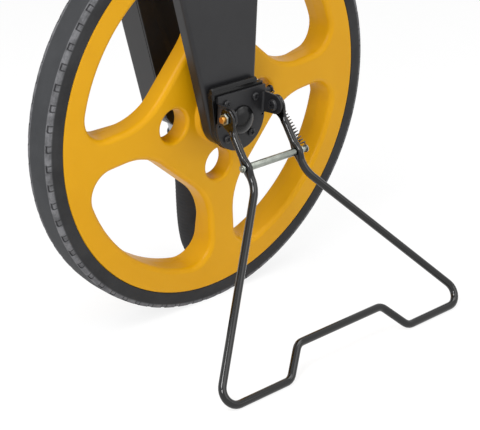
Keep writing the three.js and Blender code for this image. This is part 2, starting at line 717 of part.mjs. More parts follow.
// The crown: a hollow block between the legs and a plate over them.
function forkCrown() {
  const inset = LEG_SHEET + GAP;
  const bottom = FORK_TOP - CROWN_DEPTH;
  const sides = (shape, height, extra) => {
    const outline = legOutline(shape, inset + extra, height);
    return [outline[0].x, outline.at(-1).x];
  };
  const between = (extra, low, high) => {
    const [lowLeft, lowRight] = sides(nearLegShape, low, extra);
    const [highLeft, highRight] = sides(nearLegShape, high, extra);
    return [
      new THREE.Vector2(lowLeft, low),
      new THREE.Vector2(lowRight, low),
      new THREE.Vector2(highRight, high),
      new THREE.Vector2(highLeft, high),
    ];
  };
  const front = inset - NEAR_LEG_FACE;
  const back = REAR_LEG_INNER - GAP;
  const block = prism(between(0, bottom, CROWN_TOP), front, back, alongY);
  const hollow = prism(
    between(CROWN_WALL, bottom - OVERRUN, FORK_TOP - CROWN_WALL),
    front + CROWN_WALL,
    back - CROWN_WALL,
    alongY,
  );
  const plateLeft = legOutline(nearLegShape, 0, FORK_TOP)[0].x;
  const plate = prism(
    roundedBox(plateLeft, REAR_LEG_BOSS_RADIUS, -NEAR_LEG_FACE, REAR_LEG_FACE, CROWN_CORNER_RADIUS),
    CROWN_BOTTOM,
    CROWN_TOP,
    alongZ,
  );
  const shaftHole = circle(0, SHAFT_Y, SHAFT_HOLE_RADIUS, ROD_FACETS);
  return cut(join(block, plate), hollow, prism(shaftHole, CROWN_BOTTOM - OVERRUN, CROWN_TOP + OVERRUN, alongZ));
}

// The hub housing

function hubHousing() {
  const body = [
    new THREE.Vector2(-HOUSING_RADIUS, HOUSING_TOP),
    ...arc(0, 0, HOUSING_RADIUS, HALF_TURN, FULL_TURN, HOUSING_STEPS),
    new THREE.Vector2(HOUSING_RADIUS, HOUSING_TOP),
  ];
  const lipTop = HOUSING_TOP + HOUSING_LIP_HEIGHT;
  const lipRadius = HOUSING_LIP_HEIGHT / 2;
  const lipCentre = HOUSING_BACK - lipRadius;
  const lip = [
    new THREE.Vector2(HOUSING_BACK, HOUSING_TOP - lipRadius),
    new THREE.Vector2(HOUSING_BACK, lipTop - lipRadius),
    ...arc(lipCentre, lipTop - lipRadius, lipRadius, HOUSING_LIP_START, HOUSING_LIP_END, LIP_STEPS),
    new THREE.Vector2(HOUSING_FRONT, HOUSING_TOP - HOUSING_LIP_FRONT),
  ];
  const from = HOUSING_FRONT - OVERRUN;
  const to = HOUSING_BACK + OVERRUN;
  const postHole = onX(rod(CROSSBAR_NECK_RADIUS + GAP, HOUSING_RADIUS - POST_ROOT - GAP, HOUSING_RADIUS + OVERRUN, SCREW_FACETS));
  postHole.translate(0, -SPRING_TOP_OUT, SPRING_TOP_HEIGHT);
  return cut(
    join(
      prism(body, HOUSING_FRONT, HOUSING_BACK, alongY),
      prism(lip, -HOUSING_RADIUS - HOUSING_LIP_OUT, HOUSING_RADIUS, alongX),
    ),
    rod(HOUSING_BORE_RADIUS, from, to, HUB_FACETS),
    ...screwHoles(from, to),
    postHole,
  );
}

// An ear's outline in y and z: the tangents from its root to a round end about the pivot.
function earOutline(radius, root) {
  const [y, z] = [-STAND_PIVOT_OUT, STAND_PIVOT_HEIGHT];
  const touch = (height, side) => {
    const [across, up] = [root - y, height - z];
    return Math.atan2(up, across) + side * Math.acos(radius / Math.hypot(across, up));
  };
  return [
    new THREE.Vector2(root, EAR_ROOT_TOP),
    ...arc(y, z, radius, touch(EAR_ROOT_TOP, 1), FULL_TURN + touch(EAR_ROOT_BOTTOM, -1), EAR_STEPS),
    new THREE.Vector2(root, EAR_ROOT_BOTTOM),
  ];
}

function standBracket() {
  const web = [
    new THREE.Vector2(-HOUSING_RADIUS, BRACKET_TOP),
    ...arc(0, 0, HOUSING_RADIUS, HALF_TURN, FULL_TURN, HOUSING_STEPS),
    new THREE.Vector2(HOUSING_RADIUS, BRACKET_TOP),
  ];
  const ears = [-1, 1].map((side) => loft(
    [earOutline(EAR_RADIUS, BRACKET_BACK), earOutline(EAR_RADIUS, BRACKET_BACK), earOutline(EAR_RADIUS - EAR_BEVEL, BRACKET_BACK)],
    [EAR_OUTER - BRACKET_SHEET, EAR_OUTER - EAR_BEVEL, EAR_OUTER].map((x) => side * x),
    alongX,
  ));
  const from = BRACKET_FRONT - OVERRUN;
  const to = BRACKET_BACK + OVERRUN;
  const pivotHole = onX(rod(PIVOT_RADIUS + GAP, -EAR_OUTER - OVERRUN, EAR_OUTER + OVERRUN, ROD_FACETS));
  const earHole = onX(rod(EAR_HOLE_RADIUS, -EAR_OUTER - OVERRUN, EAR_OUTER + OVERRUN, SCREW_FACETS));
  return cut(
    join(prism(web, BRACKET_FRONT, BRACKET_BACK, alongY), ...ears),
    rod(HOUSING_BORE_RADIUS, from, to, HUB_FACETS),
    ...screwHoles(from, to),
    pivotHole.translate(0, -STAND_PIVOT_OUT, STAND_PIVOT_HEIGHT),
    earHole.translate(0, BRACKET_FRONT - EAR_HOLE_OUT, EAR_HOLE_HEIGHT),
  );
}

// The dome over the axle's end, with a hollow spigot in the bracket's bore.
function hubCap() {
  const seat = BRACKET_FRONT - GAP;
  const spigot = HOUSING_BORE_RADIUS - GAP;
  const dome = arc(0, 0, 1, 0, QUARTER_TURN, DOME_STEPS).map((point) => [CAP_RADIUS * point.x, seat - CAP_RISE * point.y]);
  return turned([
    ...dome.slice(0, -1),
    [0, seat - CAP_RISE],
    [0, seat - CAP_SPIGOT_WALL],
    [spigot - CAP_SPIGOT_WALL, seat - CAP_SPIGOT_WALL],
    [spigot - CAP_SPIGOT_WALL, seat + CAP_SPIGOT_LENGTH],
    [spigot, seat + CAP_SPIGOT_LENGTH],
    [spigot, seat],
  ], HUB_FACETS);
}

// A pan-head screw about Y with its head towards −Y.
function panScrew(shank, head, thick, seat, tip, facets) {
  return turned([
    [0, seat - thick],
    [head * HEAD_FLAT_SHARE, seat - thick],
    [head, seat - thick * HEAD_EDGE_SHARE],
    [head, seat],
    [shank, seat],
    [shank, tip],
    [0, tip],
  ], facets);
}

const hubScrew = () => panScrew(
  HUB_SCREW_RADIUS,
  HUB_SCREW_HEAD_RADIUS,
  HUB_SCREW_HEAD_THICK,
  BRACKET_FRONT - GAP,
  -NEAR_LEG_FACE + LEG_SHEET,
  SCREW_FACETS,
);

// The stand's pivots, drawn along X for the right side and mirrored for the left

function pivotBolt(side) {
  const inner = EAR_OUTER - BRACKET_SHEET - GAP;
  const tip = EYE_OUTER + GAP + PIVOT_NUT_THICK + (side < 0 ? PIVOT_TIP_LEFT : 0);
  const bolt = panScrew(PIVOT_RADIUS, PIVOT_HEAD_RADIUS, PIVOT_HEAD_THICK, inner, tip, ROD_FACETS);
  return bolt.rotateZ(side < 0 ? QUARTER_TURN : -QUARTER_TURN);
}

function pivotNut(side) {
  const from = EYE_OUTER + GAP;
  const made = nut(PIVOT_NUT_RADIUS, PIVOT_RADIUS + GAP, from, from + PIVOT_NUT_THICK, ROD_FACETS);
  return made.rotateZ(side < 0 ? QUARTER_TURN : -QUARTER_TURN);
}

// The stand, drawn hanging from its pivot

// A flat path through corners, each with its own bend radius.
function bentPath(corners, steps) {
  const path = [];
  corners.forEach(([x, y, radius], i) => {
    const here = new THREE.Vector2(x, y);
    if (i === 0 || i === corners.length - 1 || !radius) {
      path.push(here);
      return;
    }
    const before = new THREE.Vector2(...corners[i - 1]).sub(here).normalize();
    const after = new THREE.Vector2(...corners[i + 1]).sub(here).normalize();
    const half = Math.acos(before.dot(after)) / 2;
    const reach = radius / Math.tan(half);
    const middle = before.clone().add(after).normalize().multiplyScalar(radius / Math.sin(half)).add(here);
    const start = before.clone().multiplyScalar(reach).add(here).sub(middle);
    const sweep = (HALF_TURN - 2 * half) * Math.sign(after.cross(before));
    for (let step = 0; step <= steps; step += 1) {
      path.push(start.clone().rotateAround(new THREE.Vector2(), (sweep * step) / steps).add(middle));
    }
  });
  return path;
}

// The eye's outline in y and z: a round end about the pivot that narrows to the wire.
function eyeOutline() {
  const half = STAND_WIRE_RADIUS * Math.SQRT1_2;
  const open = Math.asin(half / EYE_RADIUS);
  return [
    ...arc(0, 0, EYE_RADIUS, open * 2 - QUARTER_TURN, FULL_TURN - QUARTER_TURN - open * 2, ROUND_STEPS),
    new THREE.Vector2(-half, -EYE_NECK),
    new THREE.Vector2(half, -EYE_NECK),
  ];
}

function standFrame() {
  const half = [
    [STAND_HALF_SPREAD, STAND_REACH, STAND_CORNER_RADIUS],
    [STAND_FOOT_HALF_GAP, STAND_REACH, STAND_STEP_RADIUS],
    [STAND_STEP_HALF, STAND_REACH - STAND_STEP_RISE, STAND_STEP_RADIUS],
  ];
  const right = [
    [WIRE_X, EYE_NECK - STAND_WIRE_RADIUS],
    [WIRE_X, STAND_KNEE_DROP, STAND_KNEE_RADIUS],
    ...half,
  ];
  const left = right.map(([x, drop, radius]) => [-x, drop, radius]).reverse();
  const stations = bentPath([...right, ...left], BEND_STEPS).map((point) => new THREE.Vector3(point.x, 0, -point.y));
  const eyes = [-1, 1].map((side) => prism(eyeOutline(), side * EYE_INNER, side * EYE_OUTER, alongX));
  const boss = circle(0, -CROSSBAR_DROP, 1, ROUND_STEPS).map((point) => (
    new THREE.Vector2(point.x * BOSS_HALF_WIDTH, (point.y + CROSSBAR_DROP) * BOSS_HALF_LENGTH - CROSSBAR_DROP)
  ));
  const bosses = [-1, 1].map((side) => {
    const centre = side * WIRE_X;
    return prism(boss, centre - BOSS_HALF_THICK, centre + BOSS_HALF_THICK, alongX);
  });
  const reach = WIRE_X + STAND_WIRE_RADIUS + OVERRUN;
  const barHole = onX(rod(CROSSBAR_NECK_RADIUS + GAP, -reach, reach, ROD_FACETS)).translate(0, 0, -CROSSBAR_DROP);
  const pinHole = onX(rod(PIVOT_RADIUS + GAP, -reach, reach, ROD_FACETS));
  return cut(join(wire(stations, STAND_WIRE_RADIUS, WIRE_FACETS), ...eyes, ...bosses), barHole, pinHole);
}

// The rod between the stand's legs, with thin ends through them; the right end carries the spring.
function crossbar() {
  const shoulder = WIRE_X - STAND_WIRE_RADIUS - GAP;
  const nutEnd = CROSSBAR_NUT_SEAT + CROSSBAR_NUT_THICK;
  const head = SPRING_LOW_SIDE + SPRING_WIRE_RADIUS + GAP;
  return onX(turned([
    [0, -nutEnd - CROSSBAR_LEFT_TIP],
    [CROSSBAR_NECK_RADIUS, -nutEnd - CROSSBAR_LEFT_TIP],
    [CROSSBAR_NECK_RADIUS, -shoulder],
    [CROSSBAR_RADIUS, -shoulder],
    [CROSSBAR_RADIUS, shoulder],
    [CROSSBAR_NECK_RADIUS, shoulder],
    [CROSSBAR_NECK_RADIUS, head],
    [CROSSBAR_HEAD_RADIUS, head],
    [CROSSBAR_HEAD_RADIUS, head + CROSSBAR_HEAD_THICK],
    [0, head + CROSSBAR_HEAD_THICK],
  ], ROD_FACETS)).translate(0, 0, -CROSSBAR_DROP);
}

function crossbarNut(side) {
  const to = CROSSBAR_NUT_SEAT + CROSSBAR_NUT_THICK;
  const made = ring(CROSSBAR_NUT_RADIUS, CROSSBAR_NECK_RADIUS + GAP, CROSSBAR_NUT_SEAT, to, ROD_FACETS);
  return made.rotateZ(side < 0 ? QUARTER_TURN : -QUARTER_TURN).translate(0, 0, -CROSSBAR_DROP);
}

function springPost() {
  const seat = HOUSING_RADIUS - POST_ROOT;
  const head = SPRING_TOP_SIDE + SPRING_WIRE_RADIUS + GAP;
  return onX(turned([
    [0, seat],
    [CROSSBAR_NECK_RADIUS, seat],
    [CROSSBAR_NECK_RADIUS, head],
    [POST_HEAD_RADIUS, head],
    [POST_HEAD_RADIUS, head + POST_HEAD_THICK],
    [0, head + POST_HEAD_THICK],
  ], ROD_FACETS));
}

// The spring's stations: a hook, a straight run, the coils, a straight run and a hook.
function springStations() {
  const swing = new THREE.Vector3(0, 0, -CROSSBAR_DROP).applyAxisAngle(new THREE.Vector3(1, 0, 0), STAND_SWING);
  const top = new THREE.Vector3(SPRING_TOP_SIDE, -SPRING_TOP_OUT, SPRING_TOP_HEIGHT);
  const low = new THREE.Vector3(SPRING_LOW_SIDE, swing.y - STAND_PIVOT_OUT, swing.z + STAND_PIVOT_HEIGHT);
  const axis = low.clone().sub(top);
  const length = axis.length();
  axis.normalize();
  const side = new THREE.Vector3().crossVectors(axis, new THREE.Vector3(1, 0, 0)).normalize();
  const depth = new THREE.Vector3().crossVectors(axis, side);
  const at = (run, out, round) => top.clone()
    .addScaledVector(axis, run)
    .addScaledVector(side, out * Math.cos(round))
    .addScaledVector(depth, out * Math.sin(round));
  const hook = Array.from({ length: SPRING_STEPS + 1 }, (_, i) => {
    const angle = SPRING_HOOK_START + (SPRING_HOOK_SWEEP * i) / SPRING_STEPS;
    return [-SPRING_HOOK_RADIUS * Math.cos(angle), SPRING_HOOK_RADIUS * Math.sin(angle)];
  });
  const steps = SPRING_COILS * SPRING_STEPS;
  const run = length - 2 * SPRING_HOOK_REACH;
  const coils = Array.from({ length: steps + 1 }, (_, i) => {
    const ends = Math.min(i, steps - i) / SPRING_STEPS;
    const blend = Math.min(ends, 1);
    const out = THREE.MathUtils.lerp(SPRING_HOOK_RADIUS, SPRING_COIL_RADIUS, blend);
    return at(SPRING_HOOK_REACH + (run * i) / steps, out, (i / SPRING_STEPS) * FULL_TURN);
  });
  return [
    ...hook.map(([along, out]) => at(along, out, 0)),
    ...coils,
    ...hook.map(([along, out]) => at(length - along, out, 0)).reverse(),
  ];
}

// The least gap between stretches of the spring that are over half a coil apart.
function springGap(stations) {
  let least = Infinity;
  stations.forEach((a, i) => {
    stations.slice(i + SPRING_STEPS / 2 + 1).forEach((b) => {
      least = Math.min(least, a.distanceTo(b));
    });
  });
  return least - 2 * SPRING_WIRE_RADIUS;
}

function standSpring() {
  const stations = springStations();
  console.log(`spring: least gap to itself ${springGap(stations).toFixed(2)} mm`);
  return wire(stations, SPRING_WIRE_RADIUS, SPRING_FACETS);
}

// The drive

// A bevel gear about Z with its cone's point at the origin, teeth first and its hub behind them.
function bevelGear(gear) {
  const pitch = FULL_TURN / gear.teeth;
  const outlineAt = (scale) => Array.from({ length: gear.teeth }, (_, i) => {
    const centre = (i + gear.phase) * pitch;
    const tip = (gear.pitchRadius + gear.addendum) * scale;
    const root = (gear.pitchRadius - gear.dedendum) * scale;
    return [[-TOOTH_ROOT_SHARE, root], [-TOOTH_TIP_SHARE, tip], [TOOTH_TIP_SHARE, tip], [TOOTH_ROOT_SHARE, root]]
      .map(([share, radius]) => new THREE.Vector2(
        radius * Math.cos(centre + share * pitch),
        radius * Math.sin(centre + share * pitch),
      ));
  }).flat();
  const teeth = loft(
    [outlineAt(GEAR_FACE_SHARE), outlineAt(1)],
    [gear.axial * GEAR_FACE_SHARE, gear.axial],
    alongZ,
  );
  const hub = prism(circle(0, 0, gear.hubRadius, HUB_FACETS), gear.axial, gear.axial + gear.hubLength, alongZ);
  const bore = prism(circle(0, 0, gear.bore, ROD_FACETS), -OVERRUN, gear.axial + gear.hubLength + OVERRUN, alongZ);
  return cut(join(teeth, hub), bore);
}

const largeGear = (hubLength, hubRadius, bore) => bevelGear({
  teeth: WHEEL_GEAR_TEETH,
  phase: 0,
  pitchRadius: GEAR_PITCH_RADIUS,
  addendum: GEAR_ADDENDUM,
  dedendum: GEAR_DEDENDUM,
  axial: PINION_PITCH_RADIUS,
  hubLength,
  hubRadius,
  bore,
}).rotateX(QUARTER_TURN);

const pinion = () => bevelGear({
  teeth: PINION_TEETH,
  phase: 0.5,
  pitchRadius: PINION_PITCH_RADIUS,
  addendum: PINION_ADDENDUM,
  dedendum: PINION_DEDENDUM,
  axial: GEAR_PITCH_RADIUS,
  hubLength: PINION_HUB_LENGTH,
  hubRadius: PINION_HUB_RADIUS,
  bore: SHAFT_RADIUS + GAP,
});

function driveShaft() {
  const clear = GEAR_PITCH_RADIUS * GEAR_FACE_SHARE + GAP;
  return prism(circle(0, SHAFT_Y, SHAFT_RADIUS, ROD_FACETS), clear, COUNTER_AXIS - clear, alongZ);
}

// A bush block that fills the rear leg's channel round the shaft.
function shaftBush(bottom, top) {
  const inset = LEG_SHEET + GAP;
  const left = (height) => legOutline(rearLegShape, inset, height)[0].x;
  const right = REAR_LEG_BOSS_RADIUS - inset;
  const outline = [
    new THREE.Vector2(left(bottom), bottom),
    new THREE.Vector2(right, bottom),
    new THREE.Vector2(right, top),
    new THREE.Vector2(left(top), top),
  ];
  const block = prism(outline, REAR_CHANNEL_FRONT, REAR_CHANNEL_BACK - GAP, alongY);
  return cut(block, prism(circle(0, SHAFT_Y, SHAFT_RADIUS + GAP, ROD_FACETS), bottom - OVERRUN, top + OVERRUN, alongZ));
}

// The counter

const counterRight = COUNTER_WIDTH - COUNTER_LEFT;
const drumsBack = SHAFT_Y - PINION_PITCH_RADIUS - HUB_RADIUS / 2 + DRUM_SPACE;
const windowFront = drumsBack - DRUM_COUNT * (DRUM_WIDTH + DRUM_SPACE);

function counterHousing() {
  const inset = COUNTER_WALL;
  const outside = roundedBox(-COUNTER_LEFT, counterRight, -COUNTER_FRONT, COUNTER_BACK, COUNTER_CORNER_RADIUS);
  const inside = roundedBox(
    inset - COUNTER_LEFT,
    counterRight - inset,
    inset - COUNTER_FRONT,
    COUNTER_BACK - inset,
    COUNTER_CORNER_RADIUS - inset,
  );
  const half = WINDOW_WIDTH / 2;
  const opening = plainBox(-half, half, windowFront, drumsBack);
  const recess = plainBox(-half - WINDOW_LEDGE, half + WINDOW_LEDGE, windowFront - WINDOW_LEDGE, drumsBack + WINDOW_LEDGE);
  const spindleHole = rod(RESET_SPINDLE_RADIUS + GAP, COUNTER_BACK - COUNTER_WALL - OVERRUN, COUNTER_BACK + OVERRUN, ROD_FACETS);
  return cut(
    prism(outside, COUNTER_BOTTOM, COUNTER_TOP, alongZ),
    prism(inside, COUNTER_BOTTOM - OVERRUN, COUNTER_TOP - COUNTER_WALL, alongZ),
    prism(opening, COUNTER_TOP - COUNTER_WALL - OVERRUN, COUNTER_TOP + OVERRUN, alongZ),
    prism(recess, COUNTER_TOP - WINDOW_THICK, COUNTER_TOP + OVERRUN, alongZ),
    spindleHole.translate(0, 0, COUNTER_AXIS),
  );
}

function counterWindow() {
  const half = WINDOW_WIDTH / 2 + WINDOW_LEDGE - GAP;
  const pane = plainBox(-half, half, windowFront - WINDOW_LEDGE + GAP, drumsBack + WINDOW_LEDGE - GAP);
  return prism(pane, COUNTER_TOP - WINDOW_THICK + GAP, COUNTER_TOP, alongZ);
}

function counterDrum(index) {
  const back = drumsBack - index * (DRUM_WIDTH + DRUM_SPACE);
  const drum = ring(DRUM_RADIUS, DRUM_AXLE_RADIUS + GAP, back - DRUM_WIDTH, back, HUB_FACETS);
  return drum.translate(0, 0, COUNTER_AXIS);
}

function drumAxle() {
  const wall = COUNTER_WALL + GAP;
  const axleRod = rod(DRUM_AXLE_RADIUS, wall - COUNTER_FRONT, COUNTER_BACK - wall, ROD_FACETS);
  return axleRod.translate(0, 0, COUNTER_AXIS);
}

// The reset knob with its short lever, about Y.
function resetKnob() {
  const face = COUNTER_BACK + GAP;
  const spindle = rod(RESET_SPINDLE_RADIUS, COUNTER_BACK - COUNTER_WALL + GAP, face + OVERRUN, ROD_FACETS);
  const head = rod(RESET_KNOB_RADIUS, face, face + RESET_KNOB_THICK, ROD_FACETS);
  const lever = prism([
    new THREE.Vector2(-RESET_LEVER_HALF_WIDTH, 0),
    new THREE.Vector2(RESET_LEVER_HALF_WIDTH, 0),
    ...arc(0, RESET_LEVER_LENGTH, RESET_LEVER_HALF_WIDTH, 0, HALF_TURN, LEVER_STEPS),
  ], face, face + RESET_KNOB_THICK / 2, alongY);
  return join(head, spindle, lever).translate(0, 0, COUNTER_AXIS);
}

// The folding pole, drawn in its own frame: X along the hinge pin, the folded pole along −Z

function poleBracket() {
  const base = prism(
    roundedBox(
      -HINGE_LEFT - POLE_BASE_LENGTH / 2,
      POLE_BASE_LENGTH / 2 - HINGE_LEFT,
      HINGE_Y - POLE_BASE_WIDTH / 2,
      HINGE_Y + POLE_BASE_WIDTH / 2,
      POLE_BASE_THICK,
    ),
    CROWN_TOP + GAP,
    CROWN_TOP + GAP + POLE_BASE_THICK,
    alongZ,
  );
  const inner = KNUCKLE_HALF_WIDTH + GAP;
  const cheek = [
    new THREE.Vector2(-CHEEK_RADIUS, -2 * HINGE_RISE),
    new THREE.Vector2(CHEEK_RADIUS, -2 * HINGE_RISE),
    ...arc(0, 0, CHEEK_RADIUS, 0, HALF_TURN, EAR_STEPS),
  ];
  const cheeks = [-1, 1].map((side) => (
    prism(cheek, side * inner, side * (inner + CHEEK_THICK), alongX)
      .rotateY(-REAR_LEG_SLOPE)
      .translate(-HINGE_LEFT, HINGE_Y, HINGE_Z)
  ));
  const pinHole = onX(rod(HINGE_PIN_RADIUS + GAP, -inner - CHEEK_THICK - OVERRUN, inner + CHEEK_THICK + OVERRUN, ROD_FACETS))
    .rotateY(-REAR_LEG_SLOPE)
    .translate(-HINGE_LEFT, HINGE_Y, HINGE_Z);
  const under = prism(
    plainBox(-HINGE_LEFT - POLE_BASE_LENGTH, POLE_BASE_LENGTH - HINGE_LEFT, HINGE_Y - POLE_BASE_WIDTH, HINGE_Y + POLE_BASE_WIDTH),
    CROWN_TOP + GAP - 2 * HINGE_RISE,
    CROWN_TOP + GAP,
    alongZ,
  );
  return cut(join(base, ...cheeks), under, pinHole);
}

function hingePin() {
  const reach = KNUCKLE_HALF_WIDTH + GAP + CHEEK_THICK;
  return onX(turned([
    [0, -reach - GAP - PIN_TAIL],
    [HINGE_PIN_RADIUS + PIN_TAIL / 2, -reach - GAP - PIN_TAIL],
    [HINGE_PIN_RADIUS + PIN_TAIL / 2, -reach - GAP],
    [HINGE_PIN_RADIUS, -reach - GAP],
    [HINGE_PIN_RADIUS, reach + LOCK_KNOB_THICK / 2],
    [0, reach + LOCK_KNOB_THICK / 2],
  ], ROD_FACETS));
}

// The winged knob that clamps the hinge.
function lockKnob() {
  const from = KNUCKLE_HALF_WIDTH + 2 * GAP + CHEEK_THICK;
  const body = onX(rod(LOCK_KNOB_RADIUS, from, from + LOCK_KNOB_THICK, ROD_FACETS));
  const wing = prism(
    roundedBox(-LOCK_WING_THICK / 2, LOCK_WING_THICK / 2, -LOCK_WING_LENGTH / 2, LOCK_WING_LENGTH / 2, LOCK_WING_THICK / 3),
    from + LOCK_KNOB_THICK / 2,
    from + LOCK_KNOB_THICK + GAP,
    alongX,
  );
  const bore = onX(rod(HINGE_PIN_RADIUS + GAP, from - OVERRUN, from + LOCK_KNOB_THICK / 2 + GAP, ROD_FACETS));
  return cut(join(body, wing), bore);
}

// The knuckle: a barrel on the pin, an arm and the socket that holds the tube.
function poleKnuckle() {
  const socket = OUTER_TUBE_RADIUS + GAP + SOCKET_WALL;
  const barrel = onX(rod(KNUCKLE_RADIUS, -KNUCKLE_HALF_WIDTH, KNUCKLE_HALF_WIDTH, HUB_FACETS));
  const arm = prism(
    plainBox(0, POLE_OFFSET, -KNUCKLE_RADIUS, SOCKET_TOP),
    -KNUCKLE_HALF_WIDTH,
    KNUCKLE_HALF_WIDTH,
    alongX,
  );
  const tube = prism(circle(0, POLE_OFFSET, socket, HUB_FACETS), SOCKET_TOP - SOCKET_LENGTH, SOCKET_TOP, alongZ);
  const bore = prism(
    circle(0, POLE_OFFSET, OUTER_TUBE_RADIUS + GAP, HUB_FACETS),
    SOCKET_TOP - SOCKET_LENGTH - OVERRUN,
    SOCKET_TOP - SOCKET_WALL - GAP,
    alongZ,
  );
  const pinHole = onX(rod(HINGE_PIN_RADIUS + GAP, -KNUCKLE_HALF_WIDTH - OVERRUN, KNUCKLE_HALF_WIDTH + OVERRUN, ROD_FACETS));
  return cut(join(barrel, arm, tube), bore, pinHole);
}

// A tube along Z, both ends open.
const poleTube = (radius, from, to) => (
  onZ(ring(radius, radius - TUBE_WALL, from, to, HUB_FACETS)).translate(0, POLE_OFFSET, 0)
);

// The twist collar over the joint of the two tubes, fluted for the fingers.
function twistCollar() {
  const bottom = -COLLAR_TOP - COLLAR_LENGTH;
  const wide = OUTER_TUBE_RADIUS + GAP;
  const narrow = INNER_TUBE_RADIUS + GAP;
  const step = -OUTER_TUBE_REACH - GAP;
  const outline = circle(0, POLE_OFFSET, COLLAR_RADIUS, 2 * COLLAR_FLUTES).map((point, i) => {
    const share = i % 2 ? 1 : (COLLAR_RADIUS - COLLAR_FLUTE_DEPTH) / COLLAR_RADIUS;
    return new THREE.Vector2(point.x * share, POLE_OFFSET + (point.y - POLE_OFFSET) * share);
  });
  return cut(
    prism(outline, bottom, -COLLAR_TOP, alongZ),
    prism(circle(0, POLE_OFFSET, wide, HUB_FACETS), step, OVERRUN - COLLAR_TOP, alongZ),
    prism(circle(0, POLE_OFFSET, narrow, HUB_FACETS), bottom - OVERRUN, step + OVERRUN, alongZ),
  );
}

// How far the grip has swung from the pole's axis at a run below its top.
function gripSwing(run) {
  const share = THREE.MathUtils.clamp((run - GRIP_SWING_START) / (GRIP_LENGTH - GRIP_SWING_START), 0, 1);
  return -GRIP_SWING * THREE.MathUtils.smoothstep(share, 0, 1);
}

// The grip's section at a share of its length: an oval that narrows at both ends.
function gripOutline(share) {
  const swell = GRIP_NECK_SHARE + (1 - GRIP_NECK_SHARE) * Math.sin(HALF_TURN * share) ** 0.5;
  return circle(0, 0, 1, HUB_FACETS).map((point) => new THREE.Vector2(
    gripSwing(share * GRIP_LENGTH) + point.x * GRIP_RADIUS * swell,
    POLE_OFFSET + point.y * GRIP_DEPTH_RADIUS * swell,
  ));
}

function grip() {
  const shares = [0, 0.04, 0.12, 0.25, 0.38, 0.5, 0.62, 0.75, 0.88, 0.96, 1];
  const body = loft(
    shares.map((share) => gripOutline(share)),
    shares.map((share) => -GRIP_TOP - share * GRIP_LENGTH),
    alongZ,
  );
  const bore = prism(
    circle(0, POLE_OFFSET, INNER_TUBE_RADIUS + GAP, HUB_FACETS),
    -GRIP_TOP - GRIP_BORE_DEPTH,
    OVERRUN - GRIP_TOP,
    alongZ,
  );
  return cut(body, bore);
}

function gripCap() {
  const top = -GRIP_TOP - GRIP_LENGTH - GAP;
  const outline = gripOutline(1);
  const rounded = outline.map((point) => new THREE.Vector2(
    (point.x + GRIP_SWING) * GRIP_NECK_SHARE - GRIP_SWING,
    (point.y - POLE_OFFSET) * GRIP_NECK_SHARE + POLE_OFFSET,
  ));
  return loft([outline, outline, rounded], [top, top - GRIP_CAP_THICK / 2, top - GRIP_CAP_THICK], alongZ);
}

// The assembly

function wheelGroup() {
  const group = new THREE.Group();
  const hubGearBack = SHAFT_Y - PINION_PITCH_RADIUS - HUB_FAR - GAP;
  const hubGear = largeGear(hubGearBack, GEAR_PITCH_RADIUS - GEAR_DEDENDUM, SPACER_RADIUS + 2 * GAP);
  group.add(
    piece('wheel_body', wheelBody(), yellowPlastic()),
    piece('tyre', tyre(), tyreRubber()),
    piece('wheel_bearing_near', bearing(-HUB_NEAR), steel()),
    piece('wheel_bearing_far', bearing(HUB_FAR - BEARING_WIDTH), steel()),
    piece('hub_gear', hubGear.translate(0, SHAFT_Y, 0), whiteAcetal()),
  );
  return group;
}

function forkGroup() {
  const group = new THREE.Group();
  const nearNut = -NEAR_LEG_FACE - GAP - AXLE_NUT_THICK;
  const post = piece('spring_post', springPost(), blackPaint());
  post.position.set(0, -SPRING_TOP_OUT, SPRING_TOP_HEIGHT);
  group.add(
    piece('axle', axle(), steel()),
    piece('axle_nut_near', axleNut(nearNut), steel()),
    piece('axle_nut_far', axleNut(REAR_LEG_FACE + GAP), steel()),
    piece('hub_spacer_near', spacer(-NEAR_LEG_FACE + LEG_SHEET + GAP, -HUB_NEAR - GAP), steel()),
    piece('hub_spacer_far', spacer(HUB_FAR + GAP, REAR_CHANNEL_BACK - GAP), steel()),
    piece('near_leg', nearLeg(), blackPaint()),
    piece('rear_leg', rearLeg(), blackPaint()),
    piece('rear_leg_cover', rearLegCover(), blackPaint()),
    piece('fork_crown', forkCrown(), blackPlastic()),
    piece('hub_housing', hubHousing(), blackPlastic()),
    piece('stand_bracket', standBracket(), blackPaint()),
    piece('hub_cap', hubCap(), blackGloss()),
    post,
  );
  hubScrewPlaces.forEach(([x, z], i) => {
    const screw = piece(`hub_screw_${i + 1}`, hubScrew(), blackPaint());
    screw.position.set(x, 0, z);
    group.add(screw);
  });
  [['left', -1, brass], ['right', 1, blackPaint]].forEach(([name, side, material]) => {
    const bolt = piece(`stand_pivot_bolt_${name}`, pivotBolt(side), material());
    const lockNut = piece(`stand_pivot_nut_${name}`, pivotNut(side), side < 0 ? brightZinc() : blackPaint());
    [bolt, lockNut].forEach((mesh) => mesh.position.set(0, -STAND_PIVOT_OUT, STAND_PIVOT_HEIGHT));
    group.add(bolt, lockNut);
  });
  return group;
}

function standGroup() {
  const group = new THREE.Group();
  group.position.set(0, -STAND_PIVOT_OUT, STAND_PIVOT_HEIGHT);
  group.rotation.x = STAND_SWING;
  group.add(
    piece('stand_frame', standFrame(), blackGloss()),
    piece('stand_crossbar', crossbar(), brightZinc()),
    piece('crossbar_nut_left', crossbarNut(-1), brightZinc()),
    piece('crossbar_nut_right', crossbarNut(1), brightZinc()),
  );
  return group;
}

